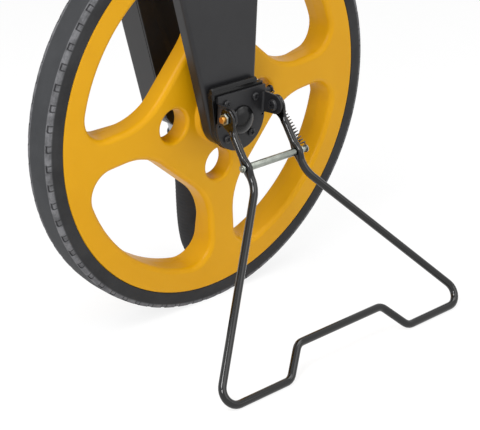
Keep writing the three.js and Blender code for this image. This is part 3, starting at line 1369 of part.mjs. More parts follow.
function driveGroup() {
  const group = new THREE.Group();
  const upperBushTop = FORK_TOP - UPPER_BUSH_DROP;
  const lower = piece('shaft_pinion_lower', pinion(), whiteAcetal());
  lower.position.set(0, SHAFT_Y, 0);
  const upper = piece('shaft_pinion_upper', pinion(), whiteAcetal());
  upper.rotation.x = HALF_TURN;
  upper.position.set(0, SHAFT_Y, COUNTER_AXIS);
  group.add(
    lower,
    upper,
    piece('drive_shaft', driveShaft(), steel()),
    piece('shaft_bush_lower', shaftBush(LOWER_BUSH_BOTTOM, LOWER_BUSH_BOTTOM + BUSH_HEIGHT), blackPlastic()),
    piece('shaft_bush_upper', shaftBush(upperBushTop - BUSH_HEIGHT, upperBushTop), blackPlastic()),
  );
  return group;
}

function counterGroup() {
  const group = new THREE.Group();
  const hubLength = SHAFT_Y - PINION_PITCH_RADIUS - drumsBack - DRUM_SPACE;
  const drumGear = largeGear(hubLength, DRUM_GEAR_HUB_RADIUS, DRUM_AXLE_RADIUS + GAP);
  const drums = Array.from({ length: DRUM_COUNT }, (_, i) => piece(`drum_${i + 1}`, counterDrum(i), whiteAcetal()));
  group.add(
    piece('counter_housing', counterHousing(), blackPlastic()),
    piece('counter_window', counterWindow(), clearPane()),
    piece('drum_axle', drumAxle(), steel()),
    piece('drum_gear', drumGear.translate(0, SHAFT_Y, COUNTER_AXIS), whiteAcetal()),
    piece('reset_knob', resetKnob(), blackPlastic()),
    ...drums,
  );
  return group;
}

function poleGroup() {
  const group = new THREE.Group();
  group.position.set(-HINGE_LEFT, HINGE_Y, HINGE_Z);
  group.rotation.y = -REAR_LEG_SLOPE;
  const tubeTop = SOCKET_TOP - SOCKET_WALL - 2 * GAP;
  group.add(
    piece('pole_hinge_pin', hingePin(), steel()),
    piece('pole_lock_knob', lockKnob(), blackPlastic()),
    piece('pole_knuckle', poleKnuckle(), blackPlastic()),
    piece('pole_outer_tube', poleTube(OUTER_TUBE_RADIUS, -OUTER_TUBE_REACH, tubeTop), aluminium()),
    piece('twist_collar', twistCollar(), blackPlastic()),
    piece('pole_inner_tube', poleTube(INNER_TUBE_RADIUS, GAP - GRIP_TOP - GRIP_BORE_DEPTH, -INNER_TUBE_TOP), aluminium()),
    piece('grip', grip(), gripRubber()),
    piece('grip_cap', gripCap(), blackPlastic()),
  );
  return group;
}

const leaning = new THREE.Group();
leaning.rotation.x = LEAN;
leaning.add(
  wheelGroup(),
  forkGroup(),
  standGroup(),
  driveGroup(),
  counterGroup(),
  poleGroup(),
  piece('pole_bracket', poleBracket(), blackPaint()),
  piece('stand_spring', standSpring(), blackPaint()),
);

// The origin is the middle of the footprint, on the ground.
const measuringWheel = new THREE.Group();
measuringWheel.add(leaning);
measuringWheel.updateMatrixWorld(true);
const extent = new THREE.Box3().setFromObject(measuringWheel, true);
const middle = extent.getCenter(new THREE.Vector3());
leaning.position.set(-middle.x, -middle.y, -extent.min.z);

export default measuringWheel;
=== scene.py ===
# A folding measuring wheel propped on its wire stand: the pieces' full shapes, their finishes, and the
# photograph's camera and light. Sizes are millimetres in the wheel's own upright frame, with the wheel's
# centre at zero and the axle along Y. The whole leans on its stand.
import math

import bmesh
import bpy
import numpy as np
from mathutils import Matrix, Vector

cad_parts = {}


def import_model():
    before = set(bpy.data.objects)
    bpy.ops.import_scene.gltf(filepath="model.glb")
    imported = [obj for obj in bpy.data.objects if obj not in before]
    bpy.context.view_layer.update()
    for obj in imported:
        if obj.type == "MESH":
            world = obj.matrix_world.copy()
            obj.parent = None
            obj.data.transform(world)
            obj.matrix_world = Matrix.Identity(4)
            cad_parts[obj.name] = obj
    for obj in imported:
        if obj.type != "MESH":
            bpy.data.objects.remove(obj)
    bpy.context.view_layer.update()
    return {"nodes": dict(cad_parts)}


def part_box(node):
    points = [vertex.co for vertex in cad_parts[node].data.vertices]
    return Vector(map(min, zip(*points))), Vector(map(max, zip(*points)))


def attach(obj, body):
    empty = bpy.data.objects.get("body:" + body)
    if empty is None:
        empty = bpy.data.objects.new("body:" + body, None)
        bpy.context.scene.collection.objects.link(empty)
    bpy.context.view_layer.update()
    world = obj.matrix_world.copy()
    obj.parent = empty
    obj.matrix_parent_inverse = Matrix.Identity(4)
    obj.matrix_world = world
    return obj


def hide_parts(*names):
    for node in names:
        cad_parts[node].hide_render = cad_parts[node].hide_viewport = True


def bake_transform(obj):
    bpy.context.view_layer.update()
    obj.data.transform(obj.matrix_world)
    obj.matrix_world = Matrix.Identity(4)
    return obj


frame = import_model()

# Places: the lean and the pole's tilt, the stand's pivot as Y and Z, and its swing from hanging
LEAN = math.radians(5.15)
TYRE_LOW, TYRE_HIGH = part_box("tyre")
WHEEL_CENTRE = (np.array(TYRE_LOW) + np.array(TYRE_HIGH)) / 2
STAND_PIVOT = (-48.5, 10.1)
STAND_SWING = math.radians(-36.3)
POLE_HINGE = (-47.8, 38.0, 217.0)
POLE_TILT = math.radians(-17.15)
POLE_OFFSET = 28.0

# Wheel and tyre: radii, half the wheel's width, the notches round each edge of the tread, and where the
# notches, the dusty band with its painted highlight and the sidewall begin, from the tyre's middle
TREAD = 1000 / math.tau
RIM = TREAD - 13
WIDTH = 12.5
HOLE_OUTER = RIM - 18.6
SMALL_OUT = 44.0
SMALL = 14.5
NOTCHES = 68
NOTCH = 4.6
NOTCH_IN = 9.2
DUST_AND_HIGHLIGHT_IN = 8.0
SIDEWALL = 11.8

# Fork and hub: each leg's face and the edge of its flange, and the plates' places along the axle
NEAR_FACE = -30.0
NEAR_EDGE = -19.8
REAR_FACE = 50.0
REAR_EDGE = 24.1
FORK_TOP = 200.0
SHEET = 1.8
HOUSING = 24.7
HOUSING_BACK = -30.3
HOUSING_FRONT = -34.8
BRACKET = 24.0
BRACKET_BACK = -34.82
BRACKET_FRONT = -37.1
LIP_LEFT = -28.8
LIP_RIGHT = 16.5
CAP = 11.2
CAP_RISE = 5.1
EAR = 7.4
EAR_IN = 22.0
EAR_TOP = 17.6
EAR_BOTTOM = 1.2
HUB_SCREWS = [(-15.8, 15.6), (12.8, 15.6), (-14, -12), (10.4, -12)]

# Stand: half the wire's thickness, the eyes, places across it and drops from the pivot along it
WIRE = 3.0
WIRE_OUT = 25.9
EYE = 7.2
EYE_FLAT = 1.2
EYE_OUT = 25.5
NUT_OUT = 29.1
BAR_DROP = 38.1
REACH = 188.95
FOOT_OUT = 132.35
STEP = 167.65
SPRING_TOP = np.array([32.0, -33.4, 16.0])
SPRING_LOW = np.array([
    34.0,
    STAND_PIVOT[0] + BAR_DROP * math.sin(STAND_SWING),
    STAND_PIVOT[1] - BAR_DROP * math.cos(STAND_SWING),
])

# Pole: the tubes, and heights in the pole's own frame
OUTER_TUBE = 9.5
INNER_TUBE = 8.0
TUBE_WALL = 1.2
COLLAR_TOP = -275.2
GRIP_TOP = -296.2
GRIP_LENGTH = 89.8
GRIP_WIDTH = 12.0
GRIP_DEPTH = 13.35
GRIP_SWING = 12.6

# Crown and counter
PLATE_TOP = 203.3
CROWN_SCREWS = [(-76, -20), (-76, 20), (-34, -20)]
COUNTER_AXIS = 220.6
COUNTER_TOP = 239.6
COUNTER_SEAT = 238.2
COUNTER_SCREWS = [(-13.5, -23.2), (14.5, -23.2), (-13.5, 43.2), (14.5, 43.2)]
DRUM = 13.0


# Frames


def spun(first, second, angle):
    """Two coordinates turned by an angle in their own plane."""
    cos, sin = math.cos(angle), math.sin(angle)
    return first * cos - second * sin, second * cos + first * sin


def upright(points):
    """Millimetres in the wheel's frame to metres in the scene's: a turn about X by the lean, then the
    wheel's centre."""
    x, y, z = np.moveaxis(np.asarray(points, float), -1, 0)
    y, z = spun(y, z, LEAN)
    return np.stack([x, y, z], -1) / 1000 + WHEEL_CENTRE


def on_stand(points):
    """The stand's own frame, hanging from its pivot, to the scene's: a turn about X by its swing, then the
    pivot."""
    x, y, z = np.moveaxis(np.asarray(points, float), -1, 0)
    y, z = spun(y, z, STAND_SWING)
    return upright(np.stack([x, y, z], -1) + (0, *STAND_PIVOT))


def on_pole(points):
    """The pole's own frame, with its hinge pin along X, to the scene's: a turn about Y by its tilt, then
    the hinge."""
    x, y, z = np.moveaxis(np.asarray(points, float), -1, 0)
    z, x = spun(z, x, POLE_TILT)
    return upright(np.stack([x, y, z], -1) + POLE_HINGE)


# Shapes


def arc(x, y, radius, start, end, steps):
    """Points of a circle's arc between two angles in degrees."""
    turn = np.radians(np.linspace(start, end, steps + 1))
    return np.column_stack([x + radius * np.cos(turn), y + radius * np.sin(turn)])


def quarter(steps):
    """A quarter round's insets, from 1 to 0, and its places, from 0 to 1, as shares of its radius."""
    turn = np.radians(np.linspace(0, 90, steps + 1))
    return 1 - np.sin(turn), 1 - np.cos(turn)


def ringed(radii, turn, centre=(0, 0)):
    """Rings of points about a centre, each ring with a radius of its own at every turn."""
    return np.stack([centre[0] + radii * np.cos(turn), centre[1] + radii * np.sin(turn)], -1)


def unit(vectors):
    """Each vector over its own length."""
    return vectors / np.maximum(np.linalg.norm(vectors, axis=-1, keepdims=True), 1e-12)


def rounded(corners, steps=5):
    """A polyline of (x, y, radius) with every corner replaced by the arc that touches both its sides. The
    arc's middle lies on the corner's bisector, radius / sin(half the corner's angle) away."""
    rows = np.array(corners, float)
    place, radius = rows[:, :2], rows[:, 2]
    back = unit(np.roll(place, 1, 0) - place)
    ahead = unit(np.roll(place, -1, 0) - place)
    half = np.arccos(np.clip((back * ahead).sum(1), -1, 1)) / 2
    half = np.maximum(half, 1e-6)
    middle = place + unit(back + ahead) * (radius / np.sin(half))[:, None]
    start = place + back * (radius / np.tan(half))[:, None] - middle
    side = np.sign(ahead[:, 0] * back[:, 1] - ahead[:, 1] * back[:, 0])
    sweep = (math.pi - 2 * half) * side
    turn = np.arctan2(start[:, 1], start[:, 0])[:, None] + sweep[:, None] * np.linspace(0, 1, steps + 1)
    ring = np.stack([np.cos(turn), np.sin(turn)], -1) * radius[:, None, None] + middle[:, None]
    ring = np.where(radius[:, None, None] > 0, ring, place[:, None])
    return ring.reshape(-1, 2)


def shrunk(outline, inset):
    """A closed outline drawn in along its corners' bisectors by an inset."""
    edge = unit(np.roll(outline, -1, 0) - outline)
    normal = np.stack([-edge[:, 1], edge[:, 0]], -1)
    before = np.roll(normal, 1, 0)
    bisector = unit(normal + before)
    reach = np.maximum((bisector * normal).sum(1), 0.5)
    area = (outline[:, 0] * np.roll(outline[:, 1], -1) - outline[:, 1] * np.roll(outline[:, 0], -1)).sum()
    return outline + bisector * (inset * np.sign(area) / reach)[:, None]


def turned(profile, steps=64, axis="y"):
    """A profile of (radius, place along the axis) carried round the axis."""
    profile = np.asarray(profile, float)
    turn = np.linspace(0, math.tau, steps, endpoint=False)
    across = profile[:, :1] * np.cos(turn)
    up = profile[:, :1] * np.sin(turn)
    along = np.broadcast_to(profile[:, 1:], across.shape)
    order = {"x": (along, across, up), "y": (across, along, up), "z": (across, up, along)}
    return np.stack(order[axis], -1)


def standing(outline, places, axis="y"):
    """Outlines in the plane square to an axis, each at its own place along it."""
    outline = np.asarray(outline, float)
    places = np.broadcast_to(np.asarray(places, float)[:, None], outline.shape[:2])
    first, second = outline[..., 0], outline[..., 1]
    order = {"x": (places, first, second), "y": (first, places, second), "z": (first, second, places)}
    return np.stack(order[axis], -1)


def drawn_in(outline, insets, places, axis="y"):
    """An outline drawn in by each inset, each at its own place along an axis."""
    return standing(np.stack([shrunk(outline, inset) for inset in insets]), places, axis)


def prism(outline, low, high, axis="y"):
    """An outline carried straight along an axis."""
    return standing(np.stack([outline, outline]), [low, high], axis)


def plate(outline, low, high, edge, axis="y", steps=4):
    """A flat plate whose edge is rounded: the outline is drawn in by edge * (1 - sin) where its place is
    edge * (1 - cos) from a face."""
    inset, place = (edge * share for share in quarter(steps))
    insets = np.concatenate([inset, inset[::-1]])
    places = np.concatenate([low + place, (high - place)[::-1]])
    return drawn_in(outline, insets, places, axis)


def swept(path, across, depth, section):
    """A section carried along a path: path + across * section's first + depth * section's second."""
    return path[:, None] + across[:, None] * section[..., :1] + depth[:, None] * section[..., 1:]


def along_path(path, section):
    """A section carried along any path. Its direction is carried on from station to station: each is the
    last one less its part along the new tangent."""
    tangent = unit(np.gradient(path, axis=0))
    seed = np.cross(tangent[0], (0.3, 0.5, 0.8))
    directions = [unit(seed)]
    for line in tangent[1:]:
        last = directions[-1]
        directions.append(unit(last - line * (last @ line)))
    across = np.array(directions)
    return swept(path, across, np.cross(tangent, across), section)


def oval(width, depth, power, steps=24):
    """Superellipses, one for each station: the half sizes times a cosine and a sine raised to 2 / power. A
    size or a power that doesn't change may be one number."""
    turn = np.linspace(0, math.tau, steps, endpoint=False)
    width, depth, power = (np.atleast_1d(v)[:, None] for v in (width, depth, power))
    cos, sin = np.cos(turn), np.sin(turn)
    first = width * np.sign(cos) * np.abs(cos) ** (2 / power)
    second = depth * np.sign(sin) * np.abs(sin) ** (2 / power)
    return np.stack([first, second], -1)


def smooth(value):
    """0 below 0, 1 above 1 and 3v² - 2v³ between."""
    value = np.clip(value, 0, 1)
    return value * value * (3 - 2 * value)


# Meshes


def grid_faces(count, around, base, wrap):
    """The faces of a grid of stations, each joined to the next one round and the next one along."""
    i = np.arange(count if wrap else count - 1)[:, None]
    j = np.arange(around)[None, :]
    here, after, beside = i * around, (i + 1) % count * around, (j + 1) % around
    return base + np.stack([here + j, here + beside, after + beside, after + j], -1)


def solid(name, *grids, place=upright, sharp=35, wrap=False, capped=True):
    """One mesh object of closed grids. Each grid is (stations, points round, 3); a capped one gets a face
    at both ends, and one that wraps runs back into its start."""
    points, faces, base = [], [], 0
    for grid in grids:
        count, around = grid.shape[:2]
        points.append(grid.reshape(-1, 3))
        faces += grid_faces(count, around, base, wrap).reshape(-1, 4).tolist()
        if capped and not wrap:
            faces.append(list(range(base + around - 1, base - 1, -1)))
            faces.append(list(range(base + (count - 1) * around, base + count * around)))
        base += count * around
    return object_of(name, place(np.concatenate(points)), faces, sharp)


def object_of(name, points, faces, sharp=35, clean=True):
    """A mesh object with merged doubles, faces outward and edges sharp past an angle."""
    mesh = bpy.data.meshes.new(name)
    mesh.from_pydata(points.tolist(), [], faces)
    if clean:
        work = bmesh.new()
        work.from_mesh(mesh)
        bmesh.ops.remove_doubles(work, verts=work.verts, dist=2e-6)
        bmesh.ops.dissolve_degenerate(work, edges=work.edges, dist=1e-6)
        bmesh.ops.recalc_face_normals(work, faces=work.faces)
        work.to_mesh(mesh)
        work.free()
    shade(mesh, sharp)
    made = bpy.data.objects.new(name, mesh)
    bpy.context.scene.collection.objects.link(made)
    return made


def shade(mesh, sharp):
    """Smooth faces with the edges past an angle left sharp."""
    mesh.polygons.foreach_set("use_smooth", np.ones(len(mesh.polygons), bool))
    mesh.set_sharp_from_angle(angle=math.radians(sharp))


def modified(made, kind, **settings):
    """A modifier with its settings."""
    modifier = made.modifiers.new(kind.title(), kind)
    for name, value in settings.items():
        setattr(modifier, name, value)


def applied(made, sharp=None):
    """The object with its modifiers worked into its mesh, and its edges sharp past an angle where one is
    given."""
    graph = bpy.context.evaluated_depsgraph_get()
    mesh = bpy.data.meshes.new_from_object(made.evaluated_get(graph))
    made.modifiers.clear()
    made.data = mesh
    if sharp:
        shade(mesh, sharp)
    return made


def carved(base, *cutters, sharp=35):
    """The base less each cutter, with the cutters taken away after."""
    for cutter in cutters:
        modified(base, "BOOLEAN", operation="DIFFERENCE", solver="MANIFOLD", object=cutter)
    applied(base, sharp)
    for cutter in cutters:
        bpy.data.objects.remove(cutter)
    return base


def evened(made):
    """Normals weighted by face, so that flats stay flat beside their round edges."""
    modified(made, "WEIGHTED_NORMAL", keep_sharp=True, weight=80)
    return applied(made)


# Materials


class Value:
    """One socket of a material. Sums and products of values add Math nodes; node() adds any other node."""

    def __init__(self, tree, socket):
        self.tree = tree
        self.socket = socket

    def node(self, kind, settings, inputs, output=0):
        """A node of a kind, with its settings made first and then the values or links of its sockets."""
        made = self.tree.nodes.new("ShaderNode" + kind)
        for name, value in settings.items():
            setattr(made, name, value)
        for name, value in dict(inputs).items():
            if isinstance(value, Value):
                self.tree.links.new(value.socket, made.inputs[name])
            else:
                made.inputs[name].default_value = value
        return Value(self.tree, made.outputs[output])

    def maths(self, operation, *values):
        """A Math node over one to three values or numbers."""
        return self.node("Math", {"operation": operation}, enumerate(values))

    def __add__(self, other):
        return self.maths("ADD", self, other)

    def __sub__(self, other):
        return self.maths("SUBTRACT", self, other)

    def __rsub__(self, other):
        return self.maths("SUBTRACT", other, self)

    def __mul__(self, other):
        return self.maths("MULTIPLY", self, other)

    __radd__ = __add__
    __rmul__ = __mul__

    def between(self, low, high):
        """0 at one value and 1 at another, eased."""
        settings = {"interpolation_type": "SMOOTHSTEP"}
        return self.node("MapRange", settings, {0: self, 1: low, 2: high, 3: 0.0, 4: 1.0})

    def noise(self, scale, detail, roughness, stretch=(1, 1, 1)):
        """Noise over the place that this value holds, at so many cells a metre."""
        place = self.node("Mapping", {}, {"Vector": self, "Scale": stretch})
        inputs = {"Vector": place, "Scale": scale, "Detail": detail, "Roughness": roughness}
        return place.node("TexNoise", {}, inputs)

    def mixed(self, first, second):
        """Two colours mixed by this value."""
        settings = {"data_type": "RGBA", "clamp_factor": True}
        return self.node("Mix", settings, {0: self, 6: first, 7: second}, 2)

    def tinted(self, dark, light, low=0.3, high=0.7):
        """From one screen colour to another while this value goes from low to high."""
        return self.between(low, high).mixed(colour(*dark), colour(*light))

    def height(self, strength, distance):
        """A bump of this value's height, so many metres at its most."""
        return self.node("Bump", {}, {"Height": self, "Strength": strength, "Distance": distance})


def colour(red, green, blue):
    """A screen colour of 0 to 255 as a linear one."""
    share = np.array([red, green, blue]) / 255
    linear = np.where(share <= 0.04045, share / 12.92, ((share + 0.055) / 1.055) ** 2.4)
    return (*linear.tolist(), 1.0)


def material(name, build):
    """A material whose surface is what build makes from the place on the object: the Principled sockets."""
    made = bpy.data.materials.new(name)
    made.use_nodes = True
    tree = made.node_tree
    surface = tree.nodes["Principled BSDF"]
    start = Value(tree, None)
    place = start.node("TexCoord", {}, {}, 3)
    for socket, value in build(place).items():
        if isinstance(value, Value):
            tree.links.new(value.socket, surface.inputs[socket])
        else:
            surface.inputs[socket].default_value = value
    return made


def in_wheel(place):
    """The place in the wheel's own upright frame: its turn about the axle and its place along it."""
    inputs = {"Vector": place, "Location": WHEEL_CENTRE.tolist(), "Rotation": (LEAN, 0, 0)}
    local = place.node("Mapping", {"vector_type": "TEXTURE"}, inputs)
    x, y, z = (local.node("SeparateXYZ", {}, {"Vector": local}, index) for index in range(3))
    return place.maths("ARCTAN2", z, x), y


def moulded_yellow(place):
    """Gloss ABS with faint flow marks, fine orange peel and scuffed patches."""
    flow = place.noise(9, 3, 0.6)
    cloud = place.noise(26, 5, 0.6)
    scuff = place.noise(240, 4, 0.7).between(0.56, 0.72) * cloud.between(0.45, 0.7)
    peel = place.noise(900, 2, 0.5)
    return {
        "Base Color": (scuff * 0.25).mixed(flow.tinted((207, 149, 3), (214, 157, 7)), colour(196, 140, 24)),
        "Roughness": 0.34 + cloud * 0.1 + scuff * 0.12,
        "Normal": peel.height(0.05, 0.0004),
        "Specular IOR Level": 0.18,
    }


def tyre_rubber(place):
    """Rubber in three zones across the tyre: a grey tread, a paler band along each shoulder, its dust
    lightened further by a painted highlight, with dark lines of painted shade round its notches, and
    near-black sidewalls. A notch's share of its pitch gives the shaded lines across the band, and the
    millimetres from the tyre's middle give the line along it."""
    turn, y = in_wheel(place)
    side = place.maths("ABSOLUTE", y) * 1000
    cloud = place.noise(30, 5, 0.65)
    grain = place.noise(1400, 3, 0.6)
    band_noise = place.noise(120, 5, 0.7)
    wall = side.between(SIDEWALL, SIDEWALL + 0.3)
    # the shoulder band: dust, with a painted highlight making it paler still
    dust_and_highlight_band = side.between(DUST_AND_HIGHLIGHT_IN, DUST_AND_HIGHLIGHT_IN + 0.6) * (1 - wall)
    share = place.maths("FRACT", turn * (NOTCHES / math.tau) + 10)
    edge = place.maths("ABSOLUTE", share - 0.5)
    pocket = NOTCH / 2 * NOTCHES / (TREAD * math.tau)
    shade_line_in = NOTCH_IN + 0.4
    # painted shade: dark lines along each notch's sides and across its inner end, where its recess is
    # shadowed
    line = 1 - place.maths("ABSOLUTE", edge - pocket).between(0.012, 0.05)
    within = 1 - edge.between(pocket - 0.02, pocket + 0.02)
    inner = within * (1 - place.maths("ABSOLUTE", side - shade_line_in).between(0.3, 0.6))
    line = place.maths("MAXIMUM", line * side.between(NOTCH_IN, shade_line_in), inner)
    tint = cloud.tinted((52, 53, 55), (62, 63, 65), 0.3, 0.75)
    # the band's pale colour is dust plus a painted highlight
    dust_and_highlight = band_noise.tinted((84, 84, 86), (124, 124, 127))
    tint = (dust_and_highlight_band * (0.55 + cloud * 0.45)).mixed(tint, dust_and_highlight)
    # painted shade: near-black lines round the notches
    tint = (dust_and_highlight_band * line * 0.8).mixed(tint, colour(26, 26, 28))
    return {
        "Base Color": wall.mixed(tint, cloud.tinted((38, 38, 39), (50, 50, 51))),
        "Roughness": 0.6 + cloud * 0.2,
        "Normal": (grain * 0.6 + cloud * 0.4).height(0.2, 0.0004),
        "Specular IOR Level": 0.2,
    }


def gloss_black(place):
    """Gloss paint on bent wire: hairline scuffs and a few dull patches."""
    cloud = place.noise(60, 4, 0.6)
    scratch = place.noise(700, 3, 0.6, (1, 1, 0.15))
    mark = scratch.between(0.58, 0.72) * cloud.between(0.5, 0.7)
    return {
        "Base Color": (mark * 0.5).mixed(colour(5, 5, 5), colour(46, 44, 42)),
        "Roughness": 0.08 + cloud * 0.06 + mark * 0.2,
        "Normal": cloud.height(0.04, 0.0006),
        "Specular IOR Level": 0.5,
    }


def clear_pane(place):
    """The window's clear plastic."""
    cloud = place.noise(120, 4, 0.6)
    return {
        "Base Color": cloud.tinted((232, 238, 240), (240, 244, 246)),
        "Roughness": 0.04 + cloud * 0.06,
        "Transmission Weight": 1.0,
        "IOR": 1.45,
    }


def coated(dark, light, cells, rough, grain, bump, level):
    """Powder coat, plain plastic or soft rubber. A cloud of so many cells a metre shifts its shade between
    two colours and its roughness by the second of its pair, and a fine grain is its bump."""

    def build(place):
        cloud = place.noise(cells, 4, 0.6)
        return {
            "Base Color": cloud.tinted(dark, light),
            "Roughness": rough[0] + cloud * rough[1],
            "Normal": place.noise(*grain).height(*bump),
            "Specular IOR Level": level,
        }

    return build


def plated(dark, light, rough, stretch):
    """Plated or bare metal with drawing lines along one direction and soft stains."""

    def build(place):
        line = place.noise(1500, 3, 0.6, stretch)
        stain = place.noise(140, 4, 0.65)
        return {
            "Base Color": (line * 0.5 + stain * 0.5).tinted(dark, light),
            "Metallic": 1.0,
            "Roughness": rough + stain * 0.14 + line * 0.08,
            "Normal": line.height(0.12, 0.0003),
        }

    return build


satin_black = coated((30, 30, 32), (36, 36, 38), 24, (0.3, 0.12), (1100, 2, 0.5), (0.05, 0.0004), 0.32)
matt_black = coated((24, 24, 25), (33, 33, 34), 40, (0.46, 0.16), (1800, 3, 0.6), (0.22, 0.0003), 0.35)
shell_black = coated((12, 12, 13), (18, 18, 19), 60, (0.2, 0.1), (700, 2, 0.5), (0.02, 0.0003), 0.28)
soft_rubber = coated((30, 30, 32), (42, 42, 44), 50, (0.66, 0.16), (2200, 3, 0.6), (0.35, 0.0003), 0.35)
gear_white = coated((216, 213, 202), (228, 226, 216), 80, (0.42, 0.12), (900, 2, 0.5), (0.05, 0.0003), 0.5)

finishes = {
    "yellow_plastic": material("moulded yellow plastic", moulded_yellow),
    "tyre_rubber": material("tyre rubber", tyre_rubber),
    "black_paint": material("satin black paint", satin_black),
    "black_gloss": material("gloss black paint", gloss_black),
    "black_plastic": material("textured black plastic", matt_black),
    "black_shell": material("polished black plastic", shell_black),
    "grip_rubber": material("grip rubber", soft_rubber),
    "zinc": material("zinc plate", plated((128, 133, 126), (168, 172, 164), 0.26, (0.1, 1, 1))),
    "steel": material("bare steel", plated((150, 150, 150), (186, 187, 188), 0.3, (1, 0.2, 1))),
    "brass": material("brass", plated((178, 122, 52), (214, 160, 84), 0.28, (0.2, 1, 1))),
    "white_plastic": material("white gear plastic", gear_white),
    "clear_plastic": material("clear plastic", clear_pane),
    "aluminium": material("drawn aluminium", plated((158, 160, 163), (188, 190, 192), 0.32, (1, 1, 0.05))),
}


def placed(made, body, finish, *nodes, across=None):
    """A new piece: its finish, the body it rides on and the nodes that it stands for. One that reaches
    across a joint rides on no body: its place is baked into its mesh."""
    made.data.materials.clear()
    made.data.materials.append(finishes[finish])
    if across:
        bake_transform(made)
    else:
        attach(made, body)
    if nodes:
        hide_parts(*nodes)


# The wheel


def hole_outline(inset):
    """One large hole's outline drawn in by an inset: the rim's arc, a corner at each of its ends, straight
    sides along the spokes and two broad arcs towards the hub."""
    spoke, corner, broad, inner_edge = 12.0, 19.0, 50.0, 57.5
    reach = math.sqrt((HOLE_OUTER - corner) ** 2 - (spoke + corner) ** 2)
    across = (reach - spoke - corner) / math.sqrt(2)
    outward = (reach + spoke + corner) / math.sqrt(2)
    broad_out = inner_edge + broad
    broad_across = broad_out - (spoke + broad) * math.sqrt(2)
    lean = math.degrees(math.atan2(outward, across))
    return np.concatenate([
        arc(broad_across, broad_out, broad - inset, -90, -45, 10),
        arc(across, outward, corner - inset, -45, lean, 20),
        arc(0, 0, HOLE_OUTER - inset, lean, 180 - lean, 36)[1:-1],
        arc(-across, outward, corner - inset, 180 - lean, 225, 20),
        arc(-broad_across, broad_out, broad - inset, 225, 270, 10),
    ])


def small_outline(inset):
    """One small hole's circle, with its radius less an inset."""
    return arc(0, SMALL_OUT, SMALL - inset, 0, 360, 48)[:-1]


def hole_cutter(name, outline, near, crest, far, first):
    """Four cutters of one outline, a quarter turn apart. Along the axle the outline is drawn in by the near
    edge's quarter round to its crest, then a little more to the far side, past a fine parting groove."""
    inset, place = quarter(10)
    taper = np.array([0.8, 0.68, 0.8, 1, 1])
    insets = np.concatenate([[crest - near], crest - near * inset, crest + taper * (far - crest)])
    places = np.concatenate([[-WIDTH - 3], -WIDTH + near * place, [-0.4, -0.2, 0.0, 2.0, WIDTH + 3]])
    x, y, z = np.moveaxis(standing(np.stack([outline(one) for one in insets]), places), -1, 0)
    grids = []
    for turns in range(4):
        across, up = spun(x, z, math.radians(first - 90 + 90 * turns))
        grids.append(np.stack([across, y, up], -1))
    return solid(name, *grids)


def wheel_body():
    """The boss, the dished web and the rim as one profile carried round, less the holes."""
    profile = rounded([
        (11.3, -16, 0.3), (22, -16, 0.9), (24, -WIDTH, 1.6), (RIM - 0.3, -WIDTH, 0.9),
        (RIM - 0.3, WIDTH, 0.4), (HOLE_OUTER, WIDTH, 0.4), (HOLE_OUTER - 0.8, 10.5, 1.2), (88, 3.2, 8),
        (66, 1.5, 8), (24, 1.5, 1.6), (22, 14, 0.9), (11.3, 14, 0.3),
        (11.3, 6.7, 0), (9, 6.7, 0.3), (9, -8.7, 0.3), (11.3, -8.7, 0),
    ])
    disc = solid("wheel_body_shape", turned(profile, 240), wrap=True, sharp=40)
    large = hole_cutter("large_holes", hole_outline, 4.5, 0.7, 1.7, -39.3)
    small = hole_cutter("small_holes", small_outline, 2.7, 1.7, 2.2, 3.3)
    return evened(carved(disc, large, small, sharp=40))


def tyre():
    """The tyre's profile carried round. Where a point lies in one of the notches along either edge of the
    tread, its radius is cut to the notch's floor."""
    near = [
        (RIM, -WIDTH, 0.3), (TREAD - 7.2, -WIDTH, 2.0), (TREAD - 1.4, -11.6, 0.4),
        (TREAD - 0.55, -10.9, 0.3), (TREAD - 0.39, -NOTCH_IN - 0.1, 0), (TREAD - 0.37, -NOTCH_IN + 0.1, 0),
        (TREAD, -5.5, 0),
    ]
    profile = rounded(near + [(radius, -y, edge) for radius, y, edge in near[::-1]], 4)
    pitch = math.tau / NOTCHES
    half = NOTCH / 2 / TREAD
    lip = half + 0.12 / TREAD
    stations = np.array([-lip, -half, -half / 2, 0, half / 2, half, lip, pitch * 0.35, pitch * 0.5])
    turn = (np.arange(NOTCHES)[:, None] * pitch + pitch / 2 + stations).reshape(-1)
    inside = np.tile(np.abs(stations) <= half + 1e-9, NOTCHES)
    radius, y = profile[:, :1], profile[:, 1:]
    near_depth, far_depth = 1.2, 0.8
    floor = np.minimum(radius, TREAD - np.where(y < 0, near_depth, far_depth))
    radius = np.where((np.abs(y) > NOTCH_IN) & inside, floor, radius)
    grid = np.stack([radius * np.cos(turn), np.broadcast_to(y, radius.shape), radius * np.sin(turn)], -1)
    return evened(solid("tyre_shape", grid, wrap=True, sharp=28))


placed(wheel_body(), "wheel", "yellow_plastic", "wheel_body")
placed(tyre(), "wheel", "tyre_rubber", "tyre")


# The fork


def leg_outline(radius, slope, left_step, right_step, inset, top, steps=48):
    """A leg's outline in x and z: a slanted left side, an arc about the axle and an upright right side."""
    disc = radius - inset
    left = radius - left_step - inset
    right = radius - right_step - inset
    start = 180 + slope - math.degrees(math.acos(left / disc))
    end = 360 + math.degrees(math.acos(right / disc))
    tilt = math.radians(slope)
    top_left = (-(left + top * math.sin(tilt)) / math.cos(tilt), top)
    return np.concatenate([[top_left], arc(0, 0, disc, start, end, steps), [(right, top)]])


